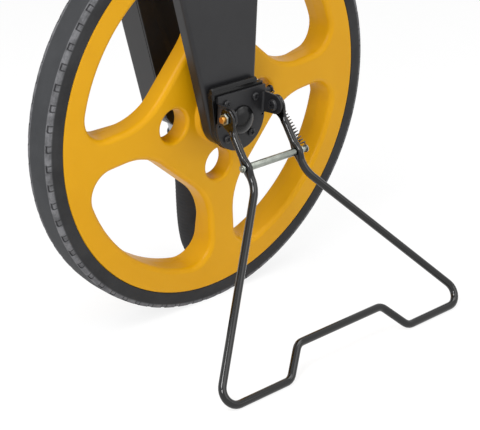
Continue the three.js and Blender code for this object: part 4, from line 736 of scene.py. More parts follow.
def folded_leg(name, shape, face, edge):
    """A pressed channel as a sheet: the outline carried from its flange's edge, round the bend and in to
    the line from the axle up the middle of the face, then thickened inward."""
    bend = 3.0
    inward = math.copysign(1, edge - face)
    inset, place = quarter(8)
    insets = np.concatenate([[0, 0], bend * inset[::-1], [2 * bend]])
    flange = [edge, face + inward * 1.5 * bend]
    places = np.concatenate([flange, face + inward * bend * place[::-1], [face]])
    rings = np.stack([leg_outline(*shape, one, FORK_TOP) for one in insets])
    spine = np.zeros_like(rings[0])
    spine[[0, -1]] = (rings[0][0] + rings[0][-1]) / 2
    grid = np.concatenate([standing(rings, places), standing(spine[None], [face])])
    count, along = grid.shape[:2]
    i = np.arange(count - 1)[:, None] * along
    j = np.arange(along - 1)[None, :]
    faces = np.stack([i + j, i + j + 1, i + along + j + 1, i + along + j], -1)
    leg = object_of(name, upright(grid.reshape(-1, 3)), faces.reshape(-1, 4).tolist(), 40)
    away = Vector((0, -inward, 0))
    outward = sum(flat.normal.dot(away) for flat in leg.data.polygons) > 0
    modified(leg, "SOLIDIFY", thickness=SHEET / 1000, offset=-1 if outward else 1, use_even_offset=True)
    return evened(applied(leg, 40))


NEAR_SHAPE = (23.8, 17.15, 0, 3.5)
REAR_SHAPE = (23.8, 17.15, 0, 0)
placed(folded_leg("near_leg_shape", NEAR_SHAPE, NEAR_FACE, NEAR_EDGE), "fork", "black_paint", "near_leg")
placed(folded_leg("rear_leg_shape", REAR_SHAPE, REAR_FACE, REAR_EDGE), "fork", "black_paint", "rear_leg")


# The hub


def dee(radius, top, corner):
    """A half disc below the axle that rises to a flat top with rounded corners."""
    return np.concatenate([
        arc(radius - corner, top - corner, corner, 90, 0, 4)[::-1],
        arc(-radius + corner, top - corner, corner, 90, 180, 4),
        arc(0, 0, radius, 180, 360, 40),
    ])


def hub_housing():
    """The housing's plate, an outline like a leg's with its front edge rounded, and its rolled lip, a
    bead's section carried along X."""
    inset, place = quarter(6)
    insets = np.concatenate([[0.4, 0], 0.5 + 0.6 * place])
    places = np.concatenate([[HOUSING_BACK, HOUSING_BACK - 0.4], HOUSING_FRONT + 0.6 * inset])
    slope, right_step, top = 9.3, 1.0, 24.6
    outlines = [leg_outline(HOUSING, slope, 0, right_step, one, top) for one in insets]
    body = standing(np.stack(outlines), places)
    section = np.concatenate([
        arc(-33.2, 26.8, 2.7, 0, 205, 16), [(-35.6, 24.6), (-34.6, 24.0), (HOUSING_BACK, 24.0)],
    ])
    return evened(solid("hub_housing_shape", body, plate(section, LIP_LEFT, LIP_RIGHT, 1.1, "x", 6)))


def ear_outline(radius):
    """The ear's outline in y and z: tangents from its root to a round end about the pivot."""
    y, z = STAND_PIVOT
    root = BRACKET_BACK

    def touch(height, side):
        across, up = root - y, height - z
        lean = math.acos(radius / math.hypot(across, up))
        return math.degrees(math.atan2(up, across) + side * lean)

    return np.concatenate([
        [(root, EAR_TOP)],
        arc(y, z, radius, touch(EAR_TOP, 1), 360 + touch(EAR_BOTTOM, -1), 32),
        [(root, EAR_BOTTOM)],
    ])


def stand_bracket():
    """The plate and its two ears, with a fillet and a round relief where each ear leaves the plate."""
    bend = 2.0
    web = plate(dee(BRACKET, 22.8, 1.0), BRACKET_FRONT, BRACKET_BACK, 0.4)
    round_bend = arc(EAR_IN - bend, BRACKET_FRONT - bend, bend, 90, 0, 6)
    fold = np.concatenate([[(EAR_IN + 0.2, BRACKET_FRONT + 0.2)], round_bend])
    shaft = turned([(0.9, BRACKET_FRONT - 2), (0.9, BRACKET_BACK + 2)], 24)
    ears, folds, reliefs = [], [], []
    for side in (-1, 1):
        low, high = sorted((side * EAR_IN, side * (EAR_IN + 2)))
        ears.append(plate(ear_outline(EAR), low, high, 0.35, "x"))
        folds.append(prism(fold * (side, 1), EAR_BOTTOM + 0.2, EAR_TOP - 0.2, "z"))
        reliefs.append(solid(f"relief_{side}", shaft + (side * (EAR_IN - 0.2), 0, -0.5)))
    return evened(carved(solid("stand_bracket_shape", web, *ears, *folds), *reliefs))


def hub_cap():
    """The dome: a low rolled foot, then a rise that follows a quarter ellipse."""
    seat = BRACKET_FRONT - 0.3
    dome = arc(0, 0, 1, 0, 90, 16) * (CAP - 0.2, CAP_RISE)
    profile = np.concatenate([
        [(9.2, seat + 1.8), (9.2, seat), (CAP, seat), (CAP, seat - 0.4)],
        np.column_stack([dome[:, 0], seat - 0.4 - dome[:, 1]]),
    ])
    profile[-1, 0] = 0
    inner = [(0, seat - 1.6), (7.6, seat - 1.6), (7.6, seat + 1.8)]
    return solid("hub_cap_shape", turned(np.concatenate([profile, inner]), 64), wrap=True)


def cross_recess(radius, turn, half, reach, depth):
    """How deep a cross recess is at a place on a head: deep where one coordinate is within the slot's half
    width and the other within its reach."""
    u, v = np.abs(radius * np.cos(turn)), np.abs(radius * np.sin(turn))
    slot = (1 - smooth((u - half) / 0.25)) * (1 - smooth((v - reach) / 0.3))
    other = (1 - smooth((v - half) / 0.25)) * (1 - smooth((u - reach) / 0.3))
    return depth * np.maximum(slot, other)


def screw_head(radius, thick, turn_by):
    """A pan head about its own axis, as radius and height over its seat: flat within, round at the edge,
    with a cross recess sunk in its top."""
    flat = 0.62
    turn = np.linspace(0, math.tau, 96, endpoint=False)
    edge = np.sin(np.radians(np.linspace(8, 90, 8)))
    rings = np.concatenate([np.linspace(0, flat, 20), flat + (1 - flat) * edge])
    fall = 1 - np.sqrt(1 - np.clip((rings - flat) / (1 - flat), 0, 1) ** 2)
    r, t = np.meshgrid(rings * radius, turn, indexing="ij")
    recess = cross_recess(r, t + turn_by, radius * 0.11, radius * 0.5, thick * 0.55)
    height = thick - fall[:, None] * thick * 0.6 - recess
    top = np.stack([r * np.cos(t), r * np.sin(t), height], -1)
    seat = top[-1] * (1, 1, 0)
    return np.concatenate([top, seat[None]])


def hub_screws():
    """Four pan heads on the bracket's front, each turned a little more than the last."""
    for index, (x, z) in enumerate(HUB_SCREWS):
        head = screw_head(3.0, 1.8, 0.5 + index * 0.9)
        grid = np.stack([head[..., 0] + x, BRACKET_FRONT - 0.3 - head[..., 2], head[..., 1] + z], -1)
        placed(solid(f"hub_screw_{index + 1}_shape", grid), "fork", "black_paint", f"hub_screw_{index + 1}")


placed(hub_housing(), "fork", "black_shell", "hub_housing")
placed(stand_bracket(), "fork", "black_paint", "stand_bracket")
placed(hub_cap(), "fork", "black_shell", "hub_cap")
hub_screws()


# The stand's pivots


def about_x(head, seat, side, centre):
    """A head's grid laid along X, facing one side, with its seat at one place."""
    return np.stack([seat + side * head[..., 2], centre[0] + head[..., 0], centre[1] + head[..., 1]], -1)


def hexagon(radius, bore, low, high, centre, chamfer=0.5):
    """A hexagon nut along X: its outline's corners are drawn in towards both faces by a cone's chamfer."""
    sixth = math.pi / 3
    turn = np.linspace(0, math.tau, 48, endpoint=False)
    flat = radius * math.cos(sixth / 2) / np.cos((turn + sixth / 2) % sixth - sixth / 2)
    face = np.minimum(flat, radius * 0.92) - chamfer * 0.4
    hole = np.full_like(turn, bore)
    rings = ringed(np.stack([hole, face, flat, flat, face, hole]), turn, centre)
    return standing(rings, [low, low, low + chamfer, high - chamfer, high, high], "x")


def pivots():
    """Each pivot's bolt, with its pan head inside the bracket and its shank through the ear and the stand's
    eye, and the nut outside them."""
    for name, side, finish, nut_finish, past in (
        ("left", -1, "brass", "zinc", 2.4), ("right", 1, "black_paint", "black_paint", 0.1),
    ):
        head = about_x(screw_head(4.3, 2.8, 0.4), side * 21.7, -side, STAND_PIVOT)
        seat, tip = side * 21.6, side * (NUT_OUT + past)
        shank = turned(rounded([(0, seat, 0), (2.5, seat, 0), (2.5, tip, 0.5), (0, tip, 0)]), 40, "x")
        bolt = solid(f"pivot_bolt_{name}_shape", head, shank + (0, *STAND_PIVOT))
        placed(bolt, "fork", finish, f"stand_pivot_bolt_{name}")
        low, high = sorted((side * 27.0, side * NUT_OUT))
        nut = solid(f"pivot_nut_{name}_shape", hexagon(4.4, 2.8, low, high, STAND_PIVOT), wrap=True)
        placed(nut, "fork", nut_finish, f"stand_pivot_nut_{name}")


pivots()


# The stand


def stand_frame():
    """One rod bent through its corners. Its section is a superellipse whose half sizes change along it:
    flat and broad at the eyes, lens-like where the crossbar passes, round elsewhere."""
    right = [
        (EYE_OUT, -EYE, 0), (EYE_OUT, 13, 6), (WIRE_OUT, 16, 6), (WIRE_OUT, 53.8, 22),
        (FOOT_OUT, REACH, 10), (62.6, REACH, 9), (44, STEP, 9),
    ]
    path = rounded(right + [(-x, drop, radius) for x, drop, radius in right[::-1]], 10)
    step = np.linalg.norm(np.diff(path, axis=0), axis=1)
    run = np.concatenate([[0], np.cumsum(step)])
    keep = np.concatenate([[True], step > 1e-6])
    run, path = run[keep], path[keep]
    total = run[-1]
    fine_end = 62.0
    fine = np.concatenate([EYE * quarter(13)[1], np.linspace(EYE + 0.6, fine_end, 56)])
    between = np.linspace(fine_end + 3, total - fine_end - 3, 260)
    stations = np.concatenate([fine, between, total - fine[::-1]])
    x, down = (np.interp(stations, run, path[:, index]) for index in range(2))
    drop = np.minimum(stations, total - stations) - EYE
    round_end = np.sqrt(np.maximum(EYE**2 - np.minimum(drop, 0) ** 2, 0))
    neck = WIRE + (EYE - WIRE) * (1 - smooth((drop - 1.5) / 11.5))
    boss = np.clip(1 - ((drop - BAR_DROP) / 8.0) ** 2, 0, 1) ** 1.5
    broad = np.where(drop < 0, round_end, neck) + 1.7 * boss
    flat = EYE_FLAT + (WIRE - EYE_FLAT) * smooth((drop - 8) / 6.5) - 0.5 * boss
    power = 2 + 2.5 * (1 - smooth((drop - 5) / 8)) + 0.6 * boss
    line = np.column_stack([x, np.zeros_like(x), -down])
    tangent = unit(np.gradient(line, axis=0))
    depth = np.broadcast_to((0.0, 1.0, 0.0), tangent.shape)
    grid = swept(line, np.cross(depth, tangent), depth, oval(flat * 0.99, broad * 0.99, power))
    return solid("stand_frame_shape", grid, place=on_stand, sharp=50)


def crossbar():
    """The rod's profile carried about X: thick between the legs, thin through them, with a grooved head on
    the right for the spring."""
    profile = rounded([
        (0, -31.7, 0), (1.9, -31.7, 0.4), (1.9, -22.6, 0), (2.75, -22.6, 0.4), (2.75, 22.6, 0.4),
        (1.9, 22.6, 0), (1.9, 33.9, 0.2), (2.9, 33.9, 0.3), (2.9, 35.5, 0.5), (0, 35.5, 0),
    ], 4)
    grid = turned(profile, 40, "x") - (0, 0, BAR_DROP)
    return solid("stand_crossbar_shape", grid, place=on_stand, capped=False)


def crossbar_nuts():
    """The round end nuts on the crossbar, outside the stand's legs."""
    for name, side in (("left", -1), ("right", 1)):
        low, high = sorted((side * 29.2, side * 30.9))
        profile = rounded([(2.0, low, 0.2), (2.9, low, 0.5), (2.9, high, 0.5), (2.0, high, 0.2)])
        grid = turned(profile, 40, "x") - (0, 0, BAR_DROP)
        made = solid(f"crossbar_nut_{name}_shape", grid, place=on_stand, wrap=True)
        placed(made, "stand", "zinc", f"crossbar_nut_{name}")


def spring_post():
    """The grooved post on the fork that holds the spring's upper hook."""
    profile = rounded([
        (0, 18, 0), (1.9, 18, 0), (1.9, 32.6, 0.2), (2.9, 32.6, 0.4), (2.9, 33.4, 0.4), (0, 33.4, 0),
    ], 4)
    return solid("spring_post_shape", turned(profile, 40, "x") + (0, *SPRING_TOP[1:]), capped=False)


def stand_spring():
    """A round wire along one line: an open hook, coils that narrow from the hook's width to their own, and
    the hook at the other end. A coil's point is the axis + radius * (cos, sin) of its turn."""
    wire, hook_out, coil_out, reach, coils = 0.42, 2.6, 2.0, 4.2, 18
    length = np.linalg.norm(SPRING_LOW - SPRING_TOP)
    axis = (SPRING_LOW - SPRING_TOP) / length
    side = unit(np.cross(axis, (1.0, 0, 0)))
    depth = np.cross(axis, side)
    hook_turn = np.radians(np.linspace(-130, 90, 24))
    hook, hook_side = -hook_out * np.cos(hook_turn), hook_out * np.sin(hook_turn)
    turn = np.linspace(0, coils, coils * 20 + 1)
    out = hook_out + (coil_out - hook_out) * np.minimum(np.minimum(turn, coils - turn), 1)
    run = reach + (length - 2 * reach) * turn / coils

    def at(along, first, second):
        return SPRING_TOP + np.stack([along, first, second], -1) @ np.stack([axis, side, depth])

    none = np.zeros_like(hook)
    path = np.concatenate([
        at(hook, hook_side, none),
        at(run, out * np.cos(turn * math.tau), out * np.sin(turn * math.tau)),
        at(length - hook, hook_side, none)[::-1],
    ])
    keep = np.concatenate([[True], np.linalg.norm(np.diff(path, axis=0), axis=1) > 0.05])
    return solid("stand_spring_shape", along_path(path[keep], oval(wire, wire, 2, 10)), sharp=60)


placed(stand_frame(), "stand", "black_gloss", "stand_frame")
placed(crossbar(), "stand", "zinc", "stand_crossbar")
crossbar_nuts()
placed(spring_post(), "fork", "black_paint", "spring_post")
spring_ends = upright(np.array([SPRING_TOP, SPRING_LOW]))
spring_blend = {"b": "stand", "start": tuple(spring_ends[0]), "end": tuple(spring_ends[1])}
placed(stand_spring(), "fork", "black_gloss", "stand_spring", across=spring_blend)


# The pole


def tube(name, radius, low, high):
    """A round tube with its ends' edges eased."""
    bore = radius - TUBE_WALL
    profile = rounded([(bore, low, 0.2), (radius, low, 0.3), (radius, high, 0.3), (bore, high, 0.2)], 3)
    return solid(name, turned(profile, 64, "z") + (0, POLE_OFFSET, 0), place=on_pole, wrap=True)


def grip():
    """An oval carried down the pole: it swings aside with the hand's curve, swells between its ends, and
    sinks into finger ribs."""
    share = np.concatenate([np.linspace(0, 0.03, 6), np.linspace(0.04, 0.96, 150), np.linspace(0.97, 1, 6)])
    run = share * GRIP_LENGTH
    edge = np.clip(np.minimum(share, 1 - share) * GRIP_LENGTH / 1.2, 0, 1)
    round_off = 1.2 * (1 - np.sqrt(1 - (1 - edge) ** 2))
    swell = 0.86 + 0.14 * np.sin(math.pi * share) ** 0.5
    rib = 0.35 * np.clip(np.sin(run / 3.2 * math.pi) ** 2 - 0.5, 0, 1)
    rib = rib * smooth((share - 0.12) / 0.04) * smooth((0.9 - share) / 0.04)
    section = oval(GRIP_WIDTH * swell - round_off - rib, GRIP_DEPTH * swell - round_off - rib, 2.2, 48)
    swing = -GRIP_SWING * smooth((run - 4) / (GRIP_LENGTH - 4))
    section = section + np.stack([swing, np.full_like(swing, POLE_OFFSET)], -1)[:, None]
    return solid("grip_shape", standing(section, GRIP_TOP - run, "z"), place=on_pole)


def grip_cap():
    """The grip's end section drawn in down a low dome."""
    inset, place = quarter(8)
    scale = np.concatenate([[0.86], 0.86 - 0.12 * place])
    drop = np.concatenate([[0], 3.0 - 1.8 * inset])
    section = oval(GRIP_WIDTH * scale, GRIP_DEPTH * scale, 2.2, 48) + (-GRIP_SWING, POLE_OFFSET)
    seat = GRIP_TOP - GRIP_LENGTH - 0.3
    return solid("grip_cap_shape", standing(section, seat - drop, "z"), place=on_pole)


placed(tube("outer_tube_shape", OUTER_TUBE, -285.7, 3.2), "pole", "aluminium", "pole_outer_tube")
placed(tube("inner_tube_shape", INNER_TUBE, -319.9, -60), "extension", "aluminium", "pole_inner_tube")
placed(grip(), "extension", "grip_rubber", "grip")
placed(grip_cap(), "extension", "black_plastic", "grip_cap")


# The pole's fittings


def twist_collar():
    """A wall carried round the pole: its outside is drawn in by a flute's depth times the cosine squared of
    six times the turn, and the flutes run out at both ends."""
    turn = np.linspace(0, math.tau, 144, endpoint=False)
    flute, even = np.cos(6 * turn) ** 2, np.ones_like(turn)
    outside = [
        (0, 0.9), (0.5, 0.25), (1.2, 0), (3.0, 0), (4.5, 0.8),
        (14.5, 0.8), (16.0, 0), (17.8, 0), (18.5, 0.25), (19, 0.9),
    ]
    walls = [11.4 - depth * (flute if 4 < drop < 15 else even) for drop, depth in outside]
    bores = [radius * even for radius in (8.3, 8.3, 9.8)]
    drops = np.array([0, *(drop for drop, depth in outside), 19, 10.8, 10.8])
    rings = ringed(np.stack([9.8 * even, *walls, *bores]), turn, (0, POLE_OFFSET))
    grid = standing(rings, COLLAR_TOP - drops, "z")
    return solid("twist_collar_shape", grid, place=on_pole, wrap=True, sharp=50)


def joined(first, *others):
    """The first object with the others' meshes added to its own."""
    work = bmesh.new()
    for made in (first, *others):
        work.from_mesh(made.data)
    work.to_mesh(first.data)
    work.free()
    for made in others:
        bpy.data.objects.remove(made)
    shade(first.data, 40)
    return first


def lock_knob():
    """A round body and the wing across it, both with rounded edges."""
    body = turned(rounded([
        (3.3, 11.6, 0.2), (6.2, 11.6, 0.3), (7, 12.6, 0.5), (7, 18.4, 1.2), (5.4, 19.6, 0.8), (0, 19.6, 0),
        (0, 15.9, 0), (3.3, 15.9, 0),
    ], 4), 48, "x")
    wing = rounded([(-2.5, -12, 2.3), (2.5, -12, 2.3), (2.5, 12, 2.3), (-2.5, 12, 2.3)], 5)
    blade = plate(wing, 15.7, 19.9, 1.2, "x")
    knob = solid("pole_lock_knob_shape", body, place=on_pole, wrap=True)
    return joined(knob, solid("wing", blade, place=on_pole))


def knuckle():
    """The barrel on the pin, the socket round the tube and the web between them."""
    barrel = turned(rounded([(3.3, -8, 0.3), (7.5, -8, 0.8), (7.5, 8, 0.8), (3.3, 8, 0.3)], 4), 64, "x")
    socket = turned(rounded([
        (9.8, -26, 0.3), (12, -26, 0.8), (12, 6, 1.6), (0, 6, 0), (0, 3.5, 0), (9.8, 3.5, 0),
    ], 4), 64, "z") + (0, POLE_OFFSET, 0)
    web = rounded([(3, -7.4, 0.5), (20, -7.4, 0.5), (20, 5.8, 0.5), (3, 5.8, 0.5)], 3)
    return joined(
        solid("pole_knuckle_barrel", barrel, place=on_pole, wrap=True),
        solid("pole_knuckle_socket", socket, place=on_pole, wrap=True),
        solid("pole_knuckle_web", plate(web, -7.8, 7.8, 1.0, "x"), place=on_pole),
    )


def hinge_pin():
    """The pin about X with a domed head on the left."""
    profile = rounded([
        (0, -14, 0), (3.4, -14, 0.9), (4.2, -12.9, 0.5), (4.2, -11.6, 0.2), (3, -11.6, 0), (3, 15.3, 0.4),
        (0, 15.3, 0),
    ], 4)
    return solid("pole_hinge_pin_shape", turned(profile, 48, "x"), place=on_pole, capped=False)


placed(twist_collar(), "collar", "black_plastic", "twist_collar")
placed(lock_knob(), "lock", "black_plastic", "pole_lock_knob")
placed(knuckle(), "pole", "black_plastic", "pole_knuckle")
placed(hinge_pin(), "fork", "steel", "pole_hinge_pin")


# The crown and the counter


def box_outline(left, right, front, back, corner):
    """A rectangle in x and y with one radius at its corners."""
    places = [(left, front), (right, front), (right, back), (left, back)]
    return rounded([(x, y, corner) for x, y in places], 6)


def crown():
    """The block between the legs, its left side slanted inside the near leg's fold, and its top plate."""

    def between_legs(inset, low, high):
        """Four corners on the near leg's sides at two heights, drawn in by an inset."""
        inset += SHEET + 0.3
        lower, upper = (leg_outline(*NEAR_SHAPE, inset, height)[[0, -1]] for height in (low, high))
        return np.concatenate([lower, upper[::-1]])

    body = solid("crown_block", plate(between_legs(0, 168, 200.6), -27.9, 21.7, 0.8))
    carved(body, solid("crown_hollow", prism(between_legs(3, 165, 197), -24.9, 18.7)))
    outline = box_outline(-86.6, 23.8, -30, 50, 5)
    top = solid("crown_plate", plate(outline, PLATE_TOP - 3, PLATE_TOP, 0.7, "z"))
    bore = turned([(4.5, 160), (4.5, 210)], 32, "z") + (0, 36, 0)
    return joined(body, carved(top, solid("shaft_bore", bore)))


def counter_housing():
    """The outline carried up past a fine parting groove to a rounded top, less its hollow, the window's
    opening and ledge, and a sunk seat at each corner for a screw."""
    inset, place = quarter(6)
    insets = np.concatenate([[0.5, 0, 0, 0.3, 0.3, 0], 2.2 * place])
    places = np.concatenate([[203.6, 204.1, 209.8, 210.0, 210.5, 210.7], COUNTER_TOP - 2.2 * inset])
    shell = drawn_in(box_outline(-18, 19, -28, 48, 5), insets, places, "z")
    cuts = [
        prism(box_outline(-15.5, 16.5, -25.5, 45.5, 2.5), 200, 237.1, "z"),
        prism(box_outline(-9, 9, -20, 18.5, 1), 230, 245, "z"),
        prism(box_outline(-11, 11, -22, 20.5, 1.5), 238.0, 245, "z"),
        turned([(2.3, 42), (2.3, 52)], 24) + (0, 0, COUNTER_AXIS),
    ]
    for x, y in COUNTER_SCREWS:
        cuts.append(turned([(2.5, COUNTER_SEAT), (2.5, 245)], 32, "z") + (x, y, 0))
    cutters = [solid(f"counter_cut_{index}", grid) for index, grid in enumerate(cuts)]
    return evened(carved(solid("counter_housing_shape", shell), *cutters))


def level_screws(name, places, height, radius, thick, turn, more, finish):
    """Pan heads on a level seat, each turned a little more than the last."""
    for index, (x, y) in enumerate(places):
        head = screw_head(radius, thick, turn + index * more)
        placed(solid(f"{name}_{index + 1}", head + (x, y, height)), "fork", finish)


def numeral(digit):
    """A plain numeral's strokes, in a box 2.8 mm wide and 4.4 mm high about zero."""
    two = np.concatenate([arc(0, 0.95, 1.25, 170, -35, 12), [(-1.3, -2.2), (1.4, -2.2)]])
    three = np.concatenate([arc(0, 1.1, 1.1, 150, -75, 10), arc(0, -0.95, 1.25, 75, -150, 12)])
    five = np.concatenate([[(1.2, 2.2), (-0.95, 2.2), (-1.1, 0.15)], arc(0, -0.85, 1.35, 130, -150, 14)])
    six = np.concatenate([[(0.9, 2.2), (-0.9, 0.2)], arc(0, -0.9, 1.3, 140, 500, 20)])
    strokes = {
        0: [arc(0, 0, 1, 0, 360, 24) * (1.3, 2.2)],
        1: [np.array([(-0.9, 1.2), (0.1, 2.2), (0.1, -2.2)])],
        2: [two],
        3: [three],
        4: [np.array([(0.6, -2.2), (0.6, 2.2), (-1.3, -0.8), (1.4, -0.8)])],
        5: [five],
        6: [six],
        7: [np.array([(-1.3, 2.2), (1.3, 2.2), (-0.3, -2.2)])],
        8: [arc(0, 1.1, 1.05, 0, 360, 18), arc(0, -0.98, 1.22, 0, 360, 20)],
        9: [-six],
    }
    return strokes[digit]


def stroke_grid(line, middle, turn):
    """A stroke's flat strip laid round a drum: its height on the numeral is an arc's length on the drum."""
    step = np.concatenate([[0], np.cumsum(np.linalg.norm(np.diff(line, axis=0), axis=1))])
    run = np.linspace(0, step[-1], max(int(step[-1] / 0.35), 4))
    across, up = (np.interp(run, step, line[:, index]) for index in range(2))
    angle = turn - up / DRUM
    normal = np.column_stack([np.sin(angle), np.zeros_like(angle), np.cos(angle)])
    path = normal * DRUM + across[:, None] * (0, 1, 0) + (0, middle, COUNTER_AXIS)
    side = unit(np.cross(unit(np.gradient(path, axis=0)), normal))
    section = np.array([(-0.28, -0.05), (0.28, -0.05), (0.28, 0.06), (-0.28, 0.06)])
    return swept(path, side, normal, section[None])


def drums():
    """Five drums on one axle, each with the numerals 0 to 9 round it."""
    bodies = ("drum_tenths", "drum_units", "drum_tens", "drum_hundreds", "drum_thousands")
    first_back, pitch, width = 18.5, 7.7, 7.2
    for index, body in enumerate(bodies):
        back = first_back - index * pitch
        low = back - width
        profile = rounded([
            (3.3, low, 0.2), (11.6, low, 0.3), (12.2, low + 0.5, 0), (DRUM, low + 0.5, 0.3),
            (DRUM, back - 0.5, 0.3), (12.2, back - 0.5, 0), (11.6, back, 0.3), (3.3, back, 0.2),
        ], 3)
        grid = turned(profile, 100) + (0, 0, COUNTER_AXIS)
        drum = solid(f"drum_{index + 1}_shape", grid, wrap=True)
        placed(drum, body, "white_plastic", f"drum_{index + 1}")
        strokes = [
            stroke_grid(np.array(line), (low + back) / 2, math.radians(36 * digit))
            for digit in range(10) for line in numeral(digit)
        ]
        placed(solid(f"drum_{index + 1}_numerals", *strokes), body, "black_paint")


def reset_knob():
    """The knob's ribbed rim, its spindle and its short lever."""
    turn = np.linspace(0, math.tau, 120, endpoint=False)
    rim = 5.7 - 0.3 * np.cos(12 * turn) ** 2
    rings = np.stack([np.full_like(turn, 5.2), rim, rim, np.full_like(turn, 5.0)])
    head = standing(ringed(rings, turn), [48.3, 48.9, 53.6, 54.3])
    spindle = turned([(2, 45.8), (2, 50)], 24)
    lever = np.concatenate([[(-2.4, 0), (2.4, 0)], arc(0, 10.6, 2.4, 0, 180, 12)])
    grids = [grid + (0, 0, COUNTER_AXIS) for grid in (head, spindle, plate(lever, 48.3, 51.3, 0.6))]
    return solid("reset_knob_shape", *grids)


placed(crown(), "fork", "black_plastic", "fork_crown")
level_screws("crown_screw", CROWN_SCREWS, PLATE_TOP, 3.6, 2.0, 0.3, 0.8, "black_paint")
placed(counter_housing(), "fork", "black_plastic", "counter_housing")
level_screws("counter_screw", COUNTER_SCREWS, COUNTER_SEAT, 2.2, 1.2, 0.2, 0.7, "steel")
window = plate(box_outline(-10.7, 10.7, -21.7, 20.2, 1.2), 238.3, COUNTER_TOP, 0.3, "z")
placed(solid("counter_window_shape", window), "fork", "clear_plastic", "counter_window")
drums()
placed(reset_knob(), "reset", "black_plastic", "reset_knob")


# The axle's far end


def axle():
    """The axle's profile carried round, with threads as fine rounds near its far end."""
    thread = np.linspace(48.5, 55.3, 55)
    profile = np.concatenate([
        [(0, -36), (3.4, -36), (4, -35.4), (4, 48.4)],
        np.column_stack([3.87 + 0.12 * np.cos((thread - 48.5) * math.tau / 0.8), thread]),
        [(3.4, 56.1), (0, 56.1)],
    ])
    return solid("axle_shape", turned(profile, 48), capped=False)


def axle_nut():
    """A hexagon nut laid along the axle, at its far end."""
    grid = hexagon(7, 4.2, 50.3, 55.5, (0, 0), 0.8)
    return solid("axle_nut_far_shape", np.stack([grid[..., 1], grid[..., 0], grid[..., 2]], -1), wrap=True)


placed(axle(), "fork", "steel", "axle")
placed(axle_nut(), "fork", "steel", "axle_nut_far")


# What stays as it is gets its finish and eased edges

kept = {
    "steel": [
        "wheel_bearing_near", "wheel_bearing_far", "axle_nut_near", "hub_spacer_near", "hub_spacer_far",
        "drive_shaft", "drum_axle",
    ],
    "white_plastic": ["hub_gear", "shaft_pinion_lower", "shaft_pinion_upper", "drum_gear"],
    "black_paint": ["rear_leg_cover", "pole_bracket"],
    "black_plastic": ["shaft_bush_lower", "shaft_bush_upper"],
}


def finished(node, finish):
    """A piece of the solids with its finish, its doubles merged and its edges eased."""
    made = frame["nodes"][node]
    if not made.material_slots:
        made.data.materials.append(finishes[finish])
    for slot in made.material_slots:
        slot.material = finishes[finish]
    modified(made, "WELD", merge_threshold=1e-6)
    modified(made, "BEVEL", width=0.0004, segments=2, limit_method="ANGLE", angle_limit=math.radians(40))


for finish, nodes in kept.items():
    for node in nodes:
        finished(node, finish)


# The floor, the light and the camera


def seen_directly(value):
    """1 for a ray from the camera, off gloss or through a clear piece."""
    kinds = ("Is Camera Ray", "Is Glossy Ray", "Is Transmission Ray")
    rays = [value.node("LightPath", {}, {}, kind) for kind in kinds]
    return value.maths("MAXIMUM", rays[0], value.maths("MAXIMUM", rays[1], rays[2]))


def floor_finish():
    """Pale floor that the camera sees as near white, and that keeps a share of the shadow."""
    made = bpy.data.materials.new("pale floor")
    made.use_nodes = True
    tree = made.node_tree
    start = Value(tree, None)
    grain = start.node("TexCoord", {}, {}, 3).noise(60, 3, 0.6)
    matt = start.node("BsdfDiffuse", {}, {"Color": grain.tinted((244, 244, 244), (247, 247, 247))})
    white = start.node("Emission", {}, {"Color": (1, 1, 1, 1), "Strength": 1.05})
    seen = seen_directly(start) * 0.8
    mixed = start.node("MixShader", {}, {0: seen, 1: matt, 2: white})
    tree.links.new(mixed.socket, tree.nodes["Material Output"].inputs["Surface"])
    return made


def floor():
    """A flat square six metres each way from the wheel."""
    half = 6.0
    points = np.array([(-half, -half, 0), (half, -half, 0), (half, half, 0), (-half, half, 0)], float)
    made = object_of("floor", points, [[0, 1, 2, 3]], clean=False)
    made.data.materials.append(floor_finish())


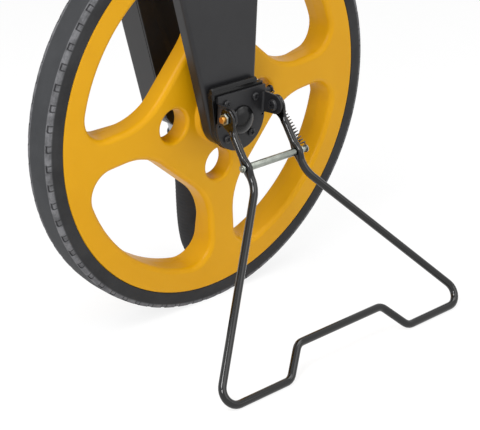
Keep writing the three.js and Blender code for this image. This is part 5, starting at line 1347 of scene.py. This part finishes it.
def world():
    """White all round, brighter where the camera sees it than where it lights the wheel."""
    made = bpy.data.worlds.new("studio")
    bpy.context.scene.world = made
    made.use_nodes = True
    tree = made.node_tree
    start = Value(tree, None)
    backdrop = tree.nodes["Background"]
    seen_level, light_level = 1.04, 0.42
    seen = seen_directly(start)
    level = seen * seen_level + (1 - seen) * light_level
    tree.links.new(level.socket, backdrop.inputs["Strength"])
    backdrop.inputs["Color"].default_value = (1, 1, 1, 1)


def towards(azimuth, elevation):
    """The direction to a place so many degrees round the wheel and above it."""
    a, e = math.radians(azimuth), math.radians(elevation)
    return Vector((math.sin(a) * math.cos(e), -math.cos(a) * math.cos(e), math.sin(e)))


def lamp(name, azimuth, elevation, distance, size, power):
    """A square softbox that looks at the wheel from an angle round it."""
    back = towards(azimuth, elevation)
    data = bpy.data.lights.new(name, "AREA")
    data.size = size
    data.energy = power
    made = bpy.data.objects.new(name, data)
    bpy.context.scene.collection.objects.link(made)
    made.location = Vector((0, 0, 0.15)) + back * distance
    made.rotation_euler = back.to_track_quat("Z", "Y").to_euler()


def camera():
    """The photograph's view: to the left, above and a little rolled, at a distance in metres from a target
    beside the wheel's centre."""
    azimuth, elevation, roll, distance = -43.21, 20.72, math.radians(-1.477), 1.226
    target = Vector(WHEEL_CENTRE) + Vector((0.03089, 0, -0.096633))
    back = towards(azimuth, elevation)
    right = towards(azimuth + 90, 0)
    up = back.cross(right)
    right, up = right * math.cos(roll) + up * math.sin(roll), up * math.cos(roll) - right * math.sin(roll)
    data = bpy.data.cameras.new("camera")
    data.lens, data.sensor_width = 116.87, 36
    data.clip_start = 0.05
    data.clip_end = 50
    made = bpy.data.objects.new("camera", data)
    bpy.context.scene.collection.objects.link(made)
    turn = Matrix((right, up, back)).transposed().to_4x4()
    made.matrix_world = Matrix.Translation(target + back * distance) @ turn
    bpy.context.scene.camera = made


floor()
world()
lamp("key", -75, 50, 1.6, 0.6, 12.5)
lamp("front", 15, 35, 1.8, 1.4, 8)
lamp("top", 60, 75, 1.6, 1.0, 8)
lamp("spark", -60, 28, 1.7, 0.4, 9)
camera()
bpy.context.scene.view_settings.view_transform = "Standard"
